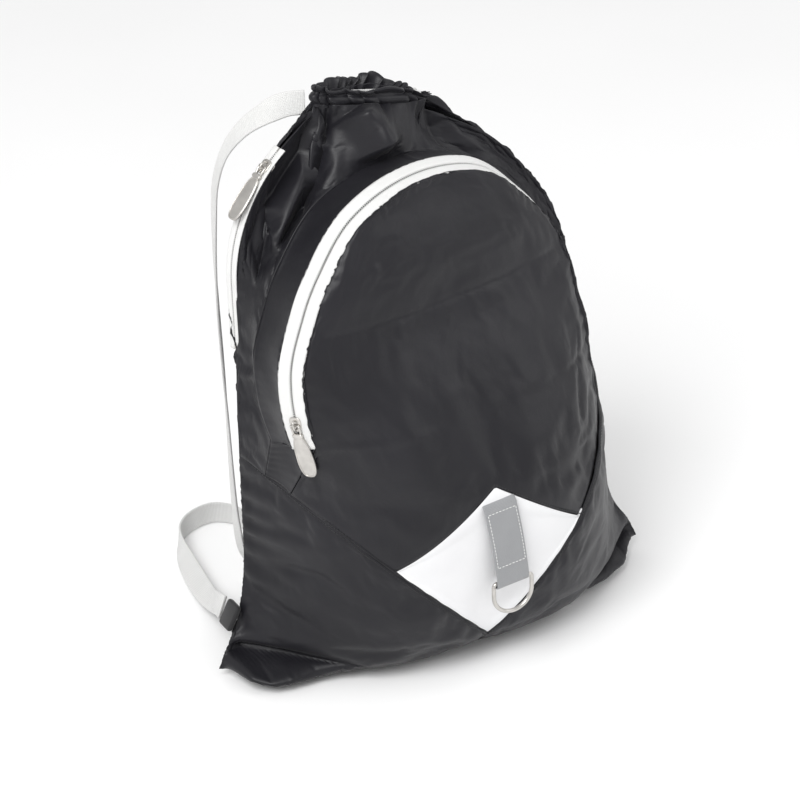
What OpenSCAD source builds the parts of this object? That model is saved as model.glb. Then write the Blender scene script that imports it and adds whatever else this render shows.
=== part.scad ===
// Drawstring backpack: a stuffed sack with a gathered mouth, an arched front pocket,
// a side zip, a diamond patch with a webbing tab and D-ring, and two flat cord straps.
// +Z is up, the front faces -Y, and the origin is the centre of the base.

/* [Fabric] */
// Thickness of the sewn fabric layers
cloth_t = 1.4; // [1:0.1:1.6]
// Clearance of the front panel behind the wings and the pocket
wall_gap = 3.6; // [3.2:0.1:4]

/* [Pocket zip] */
// Radius of the arch that the zip follows
arch_r = 134; // [133:1:135]
// Height of the arch's centre above the floor
arch_z = 242; // [240:1:243]
// Half of the width of the closed zip
band_half = 10; // [9:0.5:10.5]
// Tilt of the zip from facing the front towards facing the side
band_tilt = 66; // [60:1:72]
// Angle below the horizontal at which the zip ends
arch_tail = 15; // [13:1:16]
// Angle below the horizontal at which the slider rests
slider_tail = 6; // [5:0.5:7]

/* [Side zip] */
// Radius of the bend over the shoulder
side_r = 112; // [111:1:114]
// Angle round the bend at which the slider rests
side_slider_angle = 46; // [40:0.5:47]
// Length of the straight run below the bend
side_run = 50; // [44:1:52]

/* [Hardware] */
// Length of the flat part of a zip pull
pull_len = 37; // [30:1:38]
// Width of a zip pull
pull_w = 14; // [10:1:14]
// Width of the webbing tab on the diamond
tab_w = 27; // [24:1:28]
// Wire thickness of the D-ring
ring_wire = 3.2; // [2.5:0.1:3.4]

/* [Straps] */
// Width of the flat cotton strap
strap_w = 18; // [14:1:20]
// Thickness of the strap
strap_t = 2; // [1.6:0.1:2.2]

/* [Hidden] */

black = "#2b2a30";
white = "#f2f2f0";
grey = "#9b9ca0";
nickel = "#b9b6b0";

// Stations [x, y, z] from the seam under the base up to the mouth
left_seam = [
    [-182, 16, 8], [-170, 20, 24], [-156, 26, 50], [-149, 29, 90], [-147, 31, 150], [-142, 34, 205],
    [-132, 40, 250], [-128, 44, 300], [-119, 50, 342], [-90, 58, 384], [-58, 68, 412]
];
right_seam = [
    [183, 10, 12], [175, 12, 28], [162, 16, 52], [156, 20, 90], [151, 24, 150], [145, 30, 206],
    [138, 36, 256], [128, 46, 302], [108, 54, 335], [80, 60, 366], [34, 68, 394]
];
wall_profile = [
    [0, 18, 1], [0, -24, 1], [0, -54, 26], [0, -58, 80], [0, -44, 150], [0, -24, 208],
    [0, -8, 256], [0, 6, 306], [-2, 24, 348], [-6, 42, 382], [-12, 50, 403]
];
face_profile = [
    [0, 18, 1], [0, -32, 1], [0, -70, 28], [0, -84, 80], [0, -87, 150], [0, -66, 210],
    [0, -42, 260], [0, -18, 308], [0, 0, 340], [0, 20, 370], [0, 40, 390]
];
back_profile = [
    [0, 18, 1], [0, 62, 1], [0, 84, 24], [0, 92, 80], [0, 94, 150], [0, 94, 208],
    [0, 93, 256], [0, 92, 306], [-2, 90, 346], [-6, 89, 382], [-12, 87, 403]
];
last_station = len(left_seam) - 1;
// The panels start just in front of the seam under the base
first_row = 0.06;
wall_fullness = 2.6;
face_fullness = 3.3;
back_fullness = 2.2;
// How far each panel reaches towards the side seams, 1 being the seam itself
edge = 0.985;
wall_edge = 0.965;

// The zip follows an arch in a plane that leans back and turns to the right
arch_y = -12;
arch_lean = 8.5;
arch_turn = 9;

// The strip behind the zip ends at a second plane, behind the arch's centre
gusset_y = 17;
gusset_lean = 7;
gusset_turn = 3;

// Below the zip's ends the pocket widens again, from a height down to the seam
zip_end_z = arch_z - 36;
flare_z = arch_z - 62;
flare = 1;

// The lower seam of the front, a shallow V, and the top edges of the diamond above it
v_base = 26;
v_slope = 1.03;
diamond_half = 78;
diamond_top = 160;

// The side zip stands in a plane turned towards the front left
side_turn = 8;
side_base = [-136, 49, 304];

// Where the mouth is gathered
mouth = [-12, 70, 402];
mouth_tilt = 11;
mouth_a = 46;
mouth_b = 19;

// Zip chain, measured across the zip and out from it
coil_gap = 0.7;
coil_w = 1.2;
coil_h = 1;
tape_t = 0.8;
tape_gap = 2;
neck_w = 1;
slider_l = 11;
slider_w = 9;
slider_clear = 0.4;
stop_l = 3;
stop_w = 6;
stop_t = 2.8;
plate_t = 1.2;
bail_h = 4.4;
pin_r = 0.8;

// Width of the part of the side pocket's lining behind the zip
lining_w = 12;

// Webbing tab and D-ring
ring_at = [10, -92, 82];
ring_inner = 29;
ring_drop = 27;
tab_t = 1.6;

// Corner tabs, where the straps are sewn into the side seams
left_tab = [-165, 27, 44];
right_tab = [163, 34, 40];
tab_lean = 28;
tab_fold = [4, 22, 20];

// Strap routes [x, y, z], each followed by the direction of the strap's width
left_route = [
    [[-61, 71, 419], [0, 0.25, 1]],
    [[-76, 73, 420], [0, 0.45, 1]],
    [[-92, 76, 415], [0.3, 0.8, 0.7]],
    [[-106, 82, 405], [0.4, 1, 0.5]],
    [[-118, 88, 388], [0.4, 1, 0.3]],
    [[-125, 92, 364], [0.3, 1, 0.1]],
    [[-127, 94, 336], [0.3, 1, 0]],
    [[-128, 95, 300], [0.4, 1, 0]],
    [[-128, 95, 260], [0.5, 1, 0]],
    [[-127, 95, 215], [0.5, 1, 0]],
    [[-126, 95, 170], [0.4, 1, 0]],
    [[-125, 96, 125], [0.3, 1, 0]],
    [[-123, 98, 85], [0.2, 1, 0.1]],
    [[-118, 103, 50], [0, 1, 0.3]],
    [[-108, 114, 24], [-0.2, 0.7, 0.8]],
    [[-94, 132, 12], [-0.2, 0.3, 1]],
    [[-80, 156, 10], [0, 0.1, 1]],
    [[-72, 182, 10], [0, 0.1, 1]],
    [[-74, 206, 10], [0, 0.1, 1]],
    [[-88, 220, 10], [0, 0.1, 1]],
    [[-108, 217, 10], [0, 0.1, 1]],
    [[-124, 204, 10], [0.1, 0.1, 1]],
    [[-133, 186, 10], [0.3, 0, 1]],
    [[-138, 164, 9], [0.6, 0, 0.8]],
    [[-142, 138, 8], [0.8, 0.1, 0.6]],
    [[-147, 110, 12], [0.7, 0.2, 0.7]],
    [[-153, 82, 22], [0.4, 0.2, 0.9]],
    [[-161, 60, 36], [0.3, 0.1, 1]],
    [[-165, 39.6, 44], [0.45, 0, 0.9]]
];
right_route = [
    [[32, 93, 397], [-0.8, 0.5, -0.3]],
    [[41, 97, 384], [-0.8, 0.5, -0.3]],
    [[50, 100, 369], [-0.9, 0.4, -0.2]],
    [[59, 101, 352], [-1, 0.3, 0]],
    [[69, 102, 330], [-1, 0.2, 0]],
    [[78, 102, 300], [-1, 0.1, 0]],
    [[80, 102, 255], [-1, 0, 0]],
    [[82, 102, 205], [-1, 0, 0]],
    [[84, 102, 155], [-1, 0, 0]],
    [[86, 102, 105], [-1, 0, 0]],
    [[87, 104, 65], [-1, 0, 0.1]],
    [[88, 112, 34], [-1, 0.2, 0.1]],
    [[88, 130, 14], [-0.9, 0.3, 0.2]],
    [[86, 154, 10], [-0.5, 0.2, 0.9]],
    [[82, 180, 10], [0, 0.1, 1]],
    [[84, 204, 10], [0, 0.1, 1]],
    [[98, 216, 10], [0, 0.1, 1]],
    [[116, 208, 10], [0, 0.1, 1]],
    [[124, 188, 10], [0, 0.1, 1]],
    [[126, 162, 10], [0, 0.1, 1]],
    [[128, 134, 10], [0, 0.1, 1]],
    [[134, 104, 14], [0, 0.1, 1]],
    [[144, 76, 24], [0, 0.1, 1]],
    [[157, 60, 34], [-0.3, 0.1, 1]],
    [[163, 47.4, 40], [-0.45, 0, 0.9]]
];

// ---- Curves and surfaces -------------------------------------------------------

function mix(a, b, t) = a + (b - a) * t;
function clamp(v, low, high) = min(max(v, low), high);
function smooth(t) = let (c = clamp(t, 0, 1)) c * c * (3 - 2 * c);
function unit(v) = v / norm(v);

// Smooth curve through the stations of a table, u counted in stations
function along(table, u) =
    let (
        n = len(table) - 1,
        i = clamp(floor(u), 0, n - 1),
        f = u - i,
        a = table[max(i - 1, 0)],
        b = table[i],
        c = table[i + 1],
        d = table[min(i + 2, n)]
    )
    0.5 * (2 * b + (c - a) * f + (2 * a - 5 * b + 4 * c - d) * f * f
        + (3 * b - a - 3 * c + d) * f * f * f);

// A point of the sack: s runs from the left seam (-1) to the right seam (1)
function sack(profile, fullness, s, u) =
    let (
        side = along(s < 0 ? left_seam : right_seam, u),
        mid = along(profile, u),
        f = abs(s),
        g = pow(f, fullness)
    )
    [mix(mid.x, side.x, f), mix(mid.y, side.y, g), mix(mid.z, side.z, g)];

// Height of the V seam and of the upper edge of the wings and diamond at x
function v_height(x) = v_base + v_slope * abs(x);
function face_top(x) =
    abs(x) < diamond_half
        ? mix(diamond_top, v_height(diamond_half), abs(x) / diamond_half)
        : v_height(x);

// Station at which a column of the face reaches a height, found by halving
function station_at(s, kind, low = 0.5, high = 9, turns = 14) =
    turns == 0 ? (low + high) / 2
        : let (
            u = (low + high) / 2,
            p = sack(face_profile, face_fullness, s, u),
            limit = kind == "v" ? v_height(p.x) : face_top(p.x)
        )
        p.z < limit
            ? station_at(s, kind, u, high, turns - 1)
            : station_at(s, kind, low, u, turns - 1);
function station_of_height(s, z, low = 0.5, high = 9, turns = 14) =
    turns == 0 ? (low + high) / 2
        : let (u = (low + high) / 2)
        sack(face_profile, face_fullness, s, u).z < z
            ? station_of_height(s, z, u, high, turns - 1)
            : station_of_height(s, z, low, u, turns - 1);

// Direction out of the sack, away from its middle
function outward(p) = unit(p - [clamp(p.x, -90, 90), 45, clamp(p.z, 70, 345)]);

// The pocket's rim at a height: its place up the arch, its half width and its depth
rim_r = arch_r - band_half * cos(band_tilt) - 1;
rim_out = band_half * sin(band_tilt) + 0.6;
function rim_up(z) = (z - arch_z - rim_out * sin(arch_lean)) / cos(arch_lean);
function rim_half(z) = sqrt(max(rim_r * rim_r - pow(rim_up(z), 2), 1));
function rim_back(z) = rim_up(z) * sin(arch_lean) - rim_out * cos(arch_lean);
function pocket_half(z) =
    rim_half(max(z, zip_end_z)) + flare * max(flare_z - z, 0);
function pocket_x(s, z) =
    s * pocket_half(z) * cos(arch_turn) - rim_back(z) * sin(arch_turn);
function pocket_point(s, t) =
    let (
        top = arch_z + rim_out * sin(arch_lean) + (rim_r - 0.2) * cos(arch_lean),
        foot = face_top(pocket_x(s, face_top(s * 130))) + 3.5,
        z = mix(foot, top, 1 - pow(1 - t, 1.8)),
        x = pocket_x(s, z),
        middle = arch_y + rim_back(z) * cos(arch_turn),
        face = along(face_profile, station_of_height(0, z)).y,
        bulge = max(middle - face, 14 * smooth((top - z) / 60)),
        rim = middle + s * pocket_half(z) * sin(arch_turn),
        y = rim - bulge * (1 - pow(abs(s), 3)),
        wall = sack(face_profile, face_fullness, x / 148, station_of_height(x / 148, z)).y,
        joined = mix(wall, y, smooth((z - foot) / 45))
    )
    [x, joined, z];

// ---- Solids from grids of points -----------------------------------------------

// A closed sheet between two grids of the same size, the first facing out
module sheet(outer, inner) {
    rows = len(outer);
    cols = len(outer[0]);
    function at(layer, r, c) = layer * rows * cols + r * cols + c;
    faces = [
        for (r = [0 : rows - 2], c = [0 : cols - 2])
            [at(0, r, c), at(0, r + 1, c), at(0, r + 1, c + 1)],
        for (r = [0 : rows - 2], c = [0 : cols - 2])
            [at(0, r, c), at(0, r + 1, c + 1), at(0, r, c + 1)],
        for (r = [0 : rows - 2], c = [0 : cols - 2])
            [at(1, r, c), at(1, r + 1, c + 1), at(1, r + 1, c)],
        for (r = [0 : rows - 2], c = [0 : cols - 2])
            [at(1, r, c), at(1, r, c + 1), at(1, r + 1, c + 1)],
        for (r = [0 : rows - 2]) [at(0, r, 0), at(1, r, 0), at(1, r + 1, 0)],
        for (r = [0 : rows - 2]) [at(0, r, 0), at(1, r + 1, 0), at(0, r + 1, 0)],
        for (r = [0 : rows - 2])
            [at(0, r, cols - 1), at(1, r + 1, cols - 1), at(1, r, cols - 1)],
        for (r = [0 : rows - 2])
            [at(0, r, cols - 1), at(0, r + 1, cols - 1), at(1, r + 1, cols - 1)],
        for (c = [0 : cols - 2]) [at(0, 0, c), at(0, 0, c + 1), at(1, 0, c + 1)],
        for (c = [0 : cols - 2]) [at(0, 0, c), at(1, 0, c + 1), at(1, 0, c)],
        for (c = [0 : cols - 2])
            [at(0, rows - 1, c), at(1, rows - 1, c + 1), at(0, rows - 1, c + 1)],
        for (c = [0 : cols - 2])
            [at(0, rows - 1, c), at(1, rows - 1, c), at(1, rows - 1, c + 1)]
    ];
    points = [for (grid = [outer, inner], row = grid, p = row) p];
    polyhedron(points, faces);
}

// The same grid moved out of the sack by a distance
function shifted(grid, d) = [for (row = grid) [for (p = row) p + d * outward(p)]];

module cloth(grid, from, to) {
    sheet(shifted(grid, to), shifted(grid, from));
}

// The same, flattened over the floor at a height
function flattened(grid, low) =
    [for (row = grid) [for (p = row) [p.x, p.y, max(p.z, low)]]];

module resting_cloth(grid, from, to, low) {
    sheet(
        flattened(shifted(grid, to), low),
        flattened(shifted(grid, from), low + to - from)
    );
}

// A tube whose rings are lists of points with the same count
module tube(rings) {
    n = len(rings[0]);
    last = len(rings) - 1;
    faces = [
        [for (k = [n - 1 : -1 : 0]) k],
        for (i = [0 : last - 1], k = [0 : n - 1])
            [i * n + k, i * n + (k + 1) % n, (i + 1) * n + (k + 1) % n],
        for (i = [0 : last - 1], k = [0 : n - 1])
            [i * n + k, (i + 1) * n + (k + 1) % n, (i + 1) * n + k],
        [for (k = [0 : n - 1]) last * n + k]
    ];
    polyhedron([for (ring = rings, p = ring) p], faces);
}

// ---- Sack ----------------------------------------------------------------------

function sack_grid(profile, fullness, reach, u1, rows, cols) = [
    for (r = [0 : rows]) [
        for (c = [0 : cols])
            let (
                s = reach * sin(90 * (2 * c / cols - 1)),
                u = mix(first_row, u1, r / rows)
            )
            sack(profile, fullness, s, u)
    ]
];

module front_panel() {
    color(black)
        resting_cloth(
            sack_grid(wall_profile, wall_fullness, wall_edge, last_station - 0.1, 20, 14),
            -wall_gap - cloth_t, -wall_gap, cloth_t + wall_gap);
}

// The back has its rows the other way round, so that its faces still point out
module back_panel() {
    rows = sack_grid(back_profile, back_fullness, edge, last_station - 0.1, 20, 14);
    color(black)
        resting_cloth([for (row = rows) [for (c = [len(row) - 1 : -1 : 0]) row[c]]], 0, cloth_t, 0);
}

function wing_grid(s0, s1) = [
    for (r = [0 : 9]) [
        for (c = [0 : 10])
            let (
                s = mix(s0, s1, c / 10),
                u = mix(first_row, station_at(s, "v"), pow(r / 9, 0.8))
            )
            sack(face_profile, face_fullness, s, u)
    ]
];

module left_wing_panel() {
    color(black) resting_cloth(wing_grid(-edge, -0.004), 0, cloth_t, 0);
}

module right_wing_panel() {
    color(black) resting_cloth(wing_grid(0.004, edge), 0, cloth_t, 0);
}

module diamond_panel() {
    reach = 0.975 * diamond_half / 150;
    grid = [
        for (r = [0 : 6]) [
            for (c = [0 : 10])
                let (
                    s = mix(-reach, reach, c / 10),
                    low = station_at(s, "v") + 0.02,
                    high = station_at(s, "top") - 0.01
                )
                sack(face_profile, face_fullness, s, mix(low, max(high, low + 0.02), r / 6))
        ]
    ];
    color(white) cloth(grid, 0, cloth_t);
}

module pocket_panel() {
    grid = [for (r = [0 : 12]) [for (c = [0 : 16]) pocket_point(c / 8 - 1, r / 12)]];
    back = [for (row = grid) [for (p = row) p + [0, cloth_t, 0]]];
    color(black) sheet(grid, back);
}

// ---- Pocket zip ----------------------------------------------------------------

// Children are drawn with the arch's centre at the origin, the zip in the XZ plane and -Y out
module on_arch() {
    translate([0, arch_y, arch_z]) rotate([-arch_lean, 0, arch_turn]) children();
}

// A band along the arch, from a profile of [radius, distance out]
module arch_band() {
    rotate([90, 0, 0]) rotate([0, 0, -arch_tail])
        rotate_extrude(angle = 180 + 2 * arch_tail, $fn = 96) children();
}

// A strip of the zip: from and to across it, low and high out of it
module arch_strip(from, to, low, high) {
    on_arch() arch_band()
        translate([arch_r, 0]) rotate(-band_tilt)
            translate([from, low]) square([to - from, high - low]);
}

module pocket_gusset() {
    r = arch_r + band_half * cos(band_tilt) + 0.8;
    start = band_half * sin(band_tilt);
    color(black) intersection() {
        on_arch() arch_band() translate([r, -start - 60]) square([cloth_t, 60]);
        translate([0, gusset_y, arch_z]) rotate([-gusset_lean, 0, gusset_turn])
            translate([-200, -200, -200]) cube([400, 200, 400]);
    }
}

module pocket_tape_outer() {
    color(white) arch_strip(tape_gap, band_half, -tape_t / 2, tape_t / 2);
}

module pocket_tape_inner() {
    color(white) arch_strip(-band_half, -tape_gap, -tape_t / 2, tape_t / 2);
}

module pocket_coil_outer() {
    color(white) arch_strip(coil_gap, coil_gap + coil_w, -coil_h, coil_h);
}

module pocket_coil_inner() {
    color(white) arch_strip(-coil_gap - coil_w, -coil_gap, -coil_h, coil_h);
}

// One stop across the chain at each end of the zip
module pocket_zip_stops() {
    color(nickel) on_arch()
        for (side = [-1, 1])
            rotate([0, side * (90 + arch_tail + 0.9), 0]) translate([0, 0, arch_r])
                rotate([-band_tilt, 0, 0]) translate([-stop_l, -stop_t, -stop_w] / 2)
                    cube([stop_l, stop_t, stop_w]);
}

// The slider rides the chain: X across the zip, Z along it towards the closed end, -Y out
module slider() {
    shell = coil_h + slider_clear;
    for (side = [-1, 1])
        translate([-slider_w / 2, side > 0 ? shell : -shell - plate_t, -slider_l / 2])
            cube([slider_w, plate_t, slider_l]);
    translate([-neck_w / 2, -shell - 0.1, -slider_l / 2]) cube([neck_w, 2 * shell + 0.2, 3.5]);
    // The bail: two feet and a bridge along the slider
    for (end = [-4, 2.8])
        translate([-1, -shell - bail_h, end]) cube([2, bail_h - plate_t + 0.1, 1.2]);
    translate([-1, -shell - bail_h, -4]) cube([2, 1, 8]);
}

// The pull hangs from its own crossbar, which lies at the origin along X, the tab towards -Z
module pull() {
    rotate([0, 90, 0]) cylinder(r = pin_r, h = 7.6, center = true, $fn = 24);
    for (side = [-1, 1])
        translate([side * 3.2 - 0.8, -pin_r, -7]) cube([1.6, 2 * pin_r, 7]);
    translate([-4, -1.4, -9]) cube([8, 2.8, 3]);
    translate([0, 1.1, -8.4]) rotate([90, 0, 0]) linear_extrude(2.2) {
        translate([0, -5]) circle(r = 5, $fn = 48);
        translate([0, -pull_len + pull_w / 2]) circle(r = pull_w / 2, $fn = 48);
        polygon([[-4.9, -4], [4.9, -4], [pull_w / 2, -pull_len + pull_w / 2],
            [-pull_w / 2, -pull_len + pull_w / 2]]);
    }
}

// Distance from the chain out to the pull's crossbar
pin_out = coil_h + slider_clear + plate_t + 1.1;

// Children are drawn in the slider's own frame, at its rest on the left leg of the arch
module at_pocket_slider() {
    on_arch() rotate([0, -90 - slider_tail, 0]) translate([0, 0, arch_r])
        rotate([0, 90, 0]) rotate([0, 0, -band_tilt]) children();
}

module pocket_slider() {
    color(nickel) at_pocket_slider() slider();
}

module pocket_pull() {
    color(nickel) at_pocket_slider()
        translate([0, -pin_out, -0.6]) rotate([-6, 0, 0]) pull();
}

// ---- Side zip ------------------------------------------------------------------

// Children are drawn with the bend's centre at the origin, the zip towards -X
module on_side() {
    translate(side_base) rotate([0, 0, side_turn]) translate([side_r, 0, 0]) children();
}

// A strip of the side zip: from and to across it, low and high out of it
module side_strip(from, to, low, high) {
    for (part = [0 : 1])
        if (part == 0)
            rotate([90, 0, 0]) rotate([0, 0, 180 - side_slider_angle - 7])
                rotate_extrude(angle = side_slider_angle + 7, $fn = 96)
                    translate([side_r + low, -to]) square([high - low, to - from]);
        else
            translate([-side_r - high, from, -side_run])
                cube([high - low, to - from, side_run]);
}

module side_tape_front() {
    color(white) on_side() side_strip(-8, -tape_gap, -tape_t / 2, tape_t / 2);
}

module side_tape_back() {
    color(white) on_side() side_strip(tape_gap, 8, -tape_t / 2, tape_t / 2);
}

module side_coil_front() {
    color(white) on_side() side_strip(-coil_gap - coil_w, -coil_gap, -coil_h, coil_h);
}

module side_coil_back() {
    color(white) on_side() side_strip(coil_gap, coil_gap + coil_w, -coil_h, coil_h);
}

module side_zip_stops() {
    color(nickel) on_side() {
        translate([-side_r - stop_t / 2, -stop_w / 2, -side_run - stop_l - 0.2])
            cube([stop_t, stop_w, stop_l]);
        rotate([0, side_slider_angle + 8.4, 0])
            translate([-side_r - stop_t / 2, -stop_w / 2, -stop_l / 2]) cube([stop_t, stop_w, stop_l]);
    }
}

module at_side_slider() {
    on_side() rotate([0, side_slider_angle, 0]) translate([-side_r, 0, 0])
        rotate([0, 0, -90]) children();
}

module side_slider() {
    color(nickel) at_side_slider() slider();
}

module side_pull() {
    color(nickel) at_side_slider()
        translate([0, -pin_out, -0.6]) rotate([-4, 0, 0]) pull();
}

// The small pocket that hangs inside behind the side zip
module side_pocket_lining() {
    color(black) on_side()
        translate([-side_r + 4, -lining_w / 2, -side_run]) cube([cloth_t, lining_w, side_run + 12]);
}

// ---- Seams, mouth, straps and ring ----------------------------------------------

// A raised double seam along one half of the V
module wing_seam(side) {
    rings = [
        for (i = [0 : 14])
            let (
                s = side * mix(0.03, 0.97, i / 14),
                u = station_at(s, "v"),
                p = sack(face_profile, face_fullness, s, u),
                o = outward(p),
                a = p + (cloth_t + 0.9) * o
            )
            [a - [0, 0, 2], a + [0, 0, 2], a + [0, 0, 2] + 1.2 * o, a - [0, 0, 2] + 1.2 * o]
    ];
    tube(side > 0 ? [for (i = [len(rings) - 1 : -1 : 0]) rings[i]] : rings);
}

module wing_seam_left() {
    color(black) wing_seam(-1);
}

module wing_seam_right() {
    color(black) wing_seam(1);
}

module at_mouth() {
    translate(mouth) rotate([0, mouth_tilt, 0]) children();
}

// An oval band whose wall waves in and out in pleats
module pleated_band(a, b, wall, low, high, pleats, wave) {
    steps = 72;
    function ring(grow, z) = [
        for (k = [0 : steps])
            let (
                t = -360 * k / steps,
                w = grow + wave * sin(pleats * t)
            )
            [(a + w) * cos(t), (b + w) * sin(t), z]
    ];
    outer = [for (z = [low, high]) ring(0, z)];
    inner = [for (z = [low, high]) ring(-wall, z)];
    n = steps;
    points = [
        for (k = [0 : n - 1]) outer[0][k],
        for (k = [0 : n - 1]) outer[1][k],
        for (k = [0 : n - 1]) inner[0][k],
        for (k = [0 : n - 1]) inner[1][k]
    ];
    function quad(p, q, r, s) = [[p, q, r], [p, r, s]];
    faces = [
        for (k = [0 : n - 1])
            let (m = (k + 1) % n)
            for (f = concat(
                quad(k, n + k, n + m, m),
                quad(2 * n + k, 2 * n + m, 3 * n + m, 3 * n + k),
                quad(n + k, 3 * n + k, 3 * n + m, n + m),
                quad(k, m, 2 * n + m, 2 * n + k)
            )) f
    ];
    polyhedron(points, [for (f = faces) [f[2], f[1], f[0]]]);
}

module mouth_casing() {
    color(black) at_mouth() pleated_band(mouth_a, mouth_b, 2, 3, 27, 18, 0.9);
}

module mouth_facing() {
    color(black) at_mouth() pleated_band(mouth_a - 9, mouth_b - 9, 2, 3, 26, 18, 0.9);
}

// The part of the cord inside the casing
module casing_cord() {
    color(white) at_mouth() pleated_band(mouth_a - 5.2, mouth_b - 5.2, 1.4, 7, 23, 18, 0.2);
}

// The webbing runs from the diamond's top corner and folds round the ring's bar
module ring_tab() {
    top = [1, -92.4, diamond_top + 2];
    foot = [ring_at.x - 1, ring_at.y - 0.1, ring_at.z + 5];
    bore = ring_wire / 2 + 0.25;
    half = tab_w / 2;
    rings = [
        for (p = [top, mix(top, foot, 0.5) + [0, -0.4, 0], foot])
            [p + [-half, -0.2, 0], p + [half, -0.2, 0], p + [half, tab_t, 0], p + [-half, tab_t, 0]]
    ];
    color(grey) {
        tube(rings);
        translate(ring_at + [-half - 1, 0, 0]) rotate([0, 90, 0]) difference() {
            union() {
                cylinder(r = bore + tab_t, h = tab_w, $fn = 48);
                translate([-bore - 5, -0.2, 0]) cube([bore + 5, tab_t + 0.2, tab_w]);
            }
            translate([0, 0, -1]) cylinder(r = bore, h = tab_w + 2, $fn = 48);
        }
    }
}

module d_ring() {
    half = ring_inner / 2 + ring_wire / 2;
    bend = half;
    color(nickel) translate(ring_at) {
        rotate([0, 90, 0]) cylinder(d = ring_wire, h = 2 * half, center = true, $fn = 32);
        for (side = [-1, 1]) translate([side * half, 0, 0]) sphere(d = ring_wire, $fn = 32);
        for (side = [-1, 1])
            translate([side * half, 0, bend - ring_drop])
                cylinder(d = ring_wire, h = ring_drop - bend, $fn = 32);
        translate([0, 0, bend - ring_drop]) rotate([90, 0, 0]) rotate([0, 0, 180])
            rotate_extrude(angle = 180, $fn = 64) translate([bend, 0]) circle(d = ring_wire, $fn = 32);
    }
}

// A folded tab sewn into the side seam; the strap's end meets its back edge
module corner_tab(at, side) {
    translate(at) rotate([0, side * tab_lean, 0]) translate(-tab_fold / 2) cube(tab_fold);
}

module left_corner_tab() {
    color(black) corner_tab(left_tab, 1);
}

module right_corner_tab() {
    color(black) corner_tab(right_tab, -1);
}

// A flat strap along a route, eight-sided with rounded edges
module strap(route) {
    last = len(route) - 1;
    centres = [for (stop = route) stop[0]];
    widths = [for (stop = route) stop[1]];
    rings = [
        for (i = [0 : last])
            let (
                p = centres[i],
                t = unit(along(centres, min(i + 0.05, last)) - along(centres, max(i - 0.05, 0))),
                raw = widths[i],
                w = unit(raw - (raw * t) * t),
                n = cross(t, w),
                a = strap_w / 2,
                b = strap_t / 2
            )
            [
                for (q = [[-a, b / 2], [-a + b, b], [a - b, b], [a, b / 2],
                    [a, -b / 2], [a - b, -b], [-a + b, -b], [-a, -b / 2]])
                    p + q.x * w + q.y * n
            ]
    ];
    tube(rings);
}

module left_strap() {
    color(white) strap(left_route);
}

module right_strap() {
    color(white) strap(right_route);
}

front_panel();
back_panel();
left_wing_panel();
right_wing_panel();
diamond_panel();
pocket_panel();
pocket_gusset();
pocket_tape_outer();
pocket_tape_inner();
pocket_coil_outer();
pocket_coil_inner();
pocket_zip_stops();
pocket_slider();
pocket_pull();
side_tape_front();
side_tape_back();
side_coil_front();
side_coil_back();
side_zip_stops();
side_slider();
side_pull();
side_pocket_lining();
wing_seam_left();
wing_seam_right();
mouth_casing();
mouth_facing();
casing_cord();
ring_tab();
d_ring();
left_corner_tab();
right_corner_tab();
left_strap();
right_strap();
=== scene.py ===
"""Drawstring backpack: the looks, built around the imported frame. Lengths are in millimetres
until a mesh is made, because the sewing sizes are; +Z is up and the front faces -Y."""

import math

import bpy
import numpy as np
from mathutils import Matrix, Vector, noise


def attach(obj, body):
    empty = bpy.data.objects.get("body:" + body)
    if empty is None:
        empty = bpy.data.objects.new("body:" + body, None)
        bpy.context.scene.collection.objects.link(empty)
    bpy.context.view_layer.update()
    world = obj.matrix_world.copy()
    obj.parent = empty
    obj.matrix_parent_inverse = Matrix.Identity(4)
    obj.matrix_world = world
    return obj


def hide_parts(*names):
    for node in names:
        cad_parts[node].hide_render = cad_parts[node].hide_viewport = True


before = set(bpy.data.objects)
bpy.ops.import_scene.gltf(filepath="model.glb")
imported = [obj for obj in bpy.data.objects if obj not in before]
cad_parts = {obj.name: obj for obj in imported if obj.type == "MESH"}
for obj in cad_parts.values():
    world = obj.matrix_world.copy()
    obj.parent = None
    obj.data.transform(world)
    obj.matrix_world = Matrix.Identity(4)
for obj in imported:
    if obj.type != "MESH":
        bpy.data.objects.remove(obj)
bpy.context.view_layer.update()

MM = 0.001
FLOOR_GAP = 0.4

# ---- Camera --------------------------------------------------------------------

AIM = (-0.0141, 0.0295, 0.182)
CAMERA_AZIMUTH, CAMERA_ELEVATION, CAMERA_ROLL = (math.radians(a) for a in (-28.0, 29.0, -1.9))
CAMERA_DISTANCE = 2.34
LENS, SENSOR = 141.3, 36.0


def make_camera():
    back = np.array([
        math.sin(CAMERA_AZIMUTH) * math.cos(CAMERA_ELEVATION),
        -math.cos(CAMERA_AZIMUTH) * math.cos(CAMERA_ELEVATION),
        math.sin(CAMERA_ELEVATION)])
    level = np.array([math.cos(CAMERA_AZIMUTH), math.sin(CAMERA_AZIMUTH), 0.0])
    upright = np.cross(back, level)
    right = math.cos(CAMERA_ROLL) * level + math.sin(CAMERA_ROLL) * upright
    up = -math.sin(CAMERA_ROLL) * level + math.cos(CAMERA_ROLL) * upright
    place = np.array(AIM) + CAMERA_DISTANCE * back
    data = bpy.data.cameras.new("camera")
    data.lens = LENS
    data.sensor_width = SENSOR
    data.clip_end = 20.0
    camera = bpy.data.objects.new("camera", data)
    bpy.context.scene.collection.objects.link(camera)
    camera.matrix_world = Matrix([[right[i], up[i], back[i], place[i]] for i in range(3)] + [[0, 0, 0, 1]])
    bpy.context.scene.camera = camera


# ---- Materials -----------------------------------------------------------------


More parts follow.
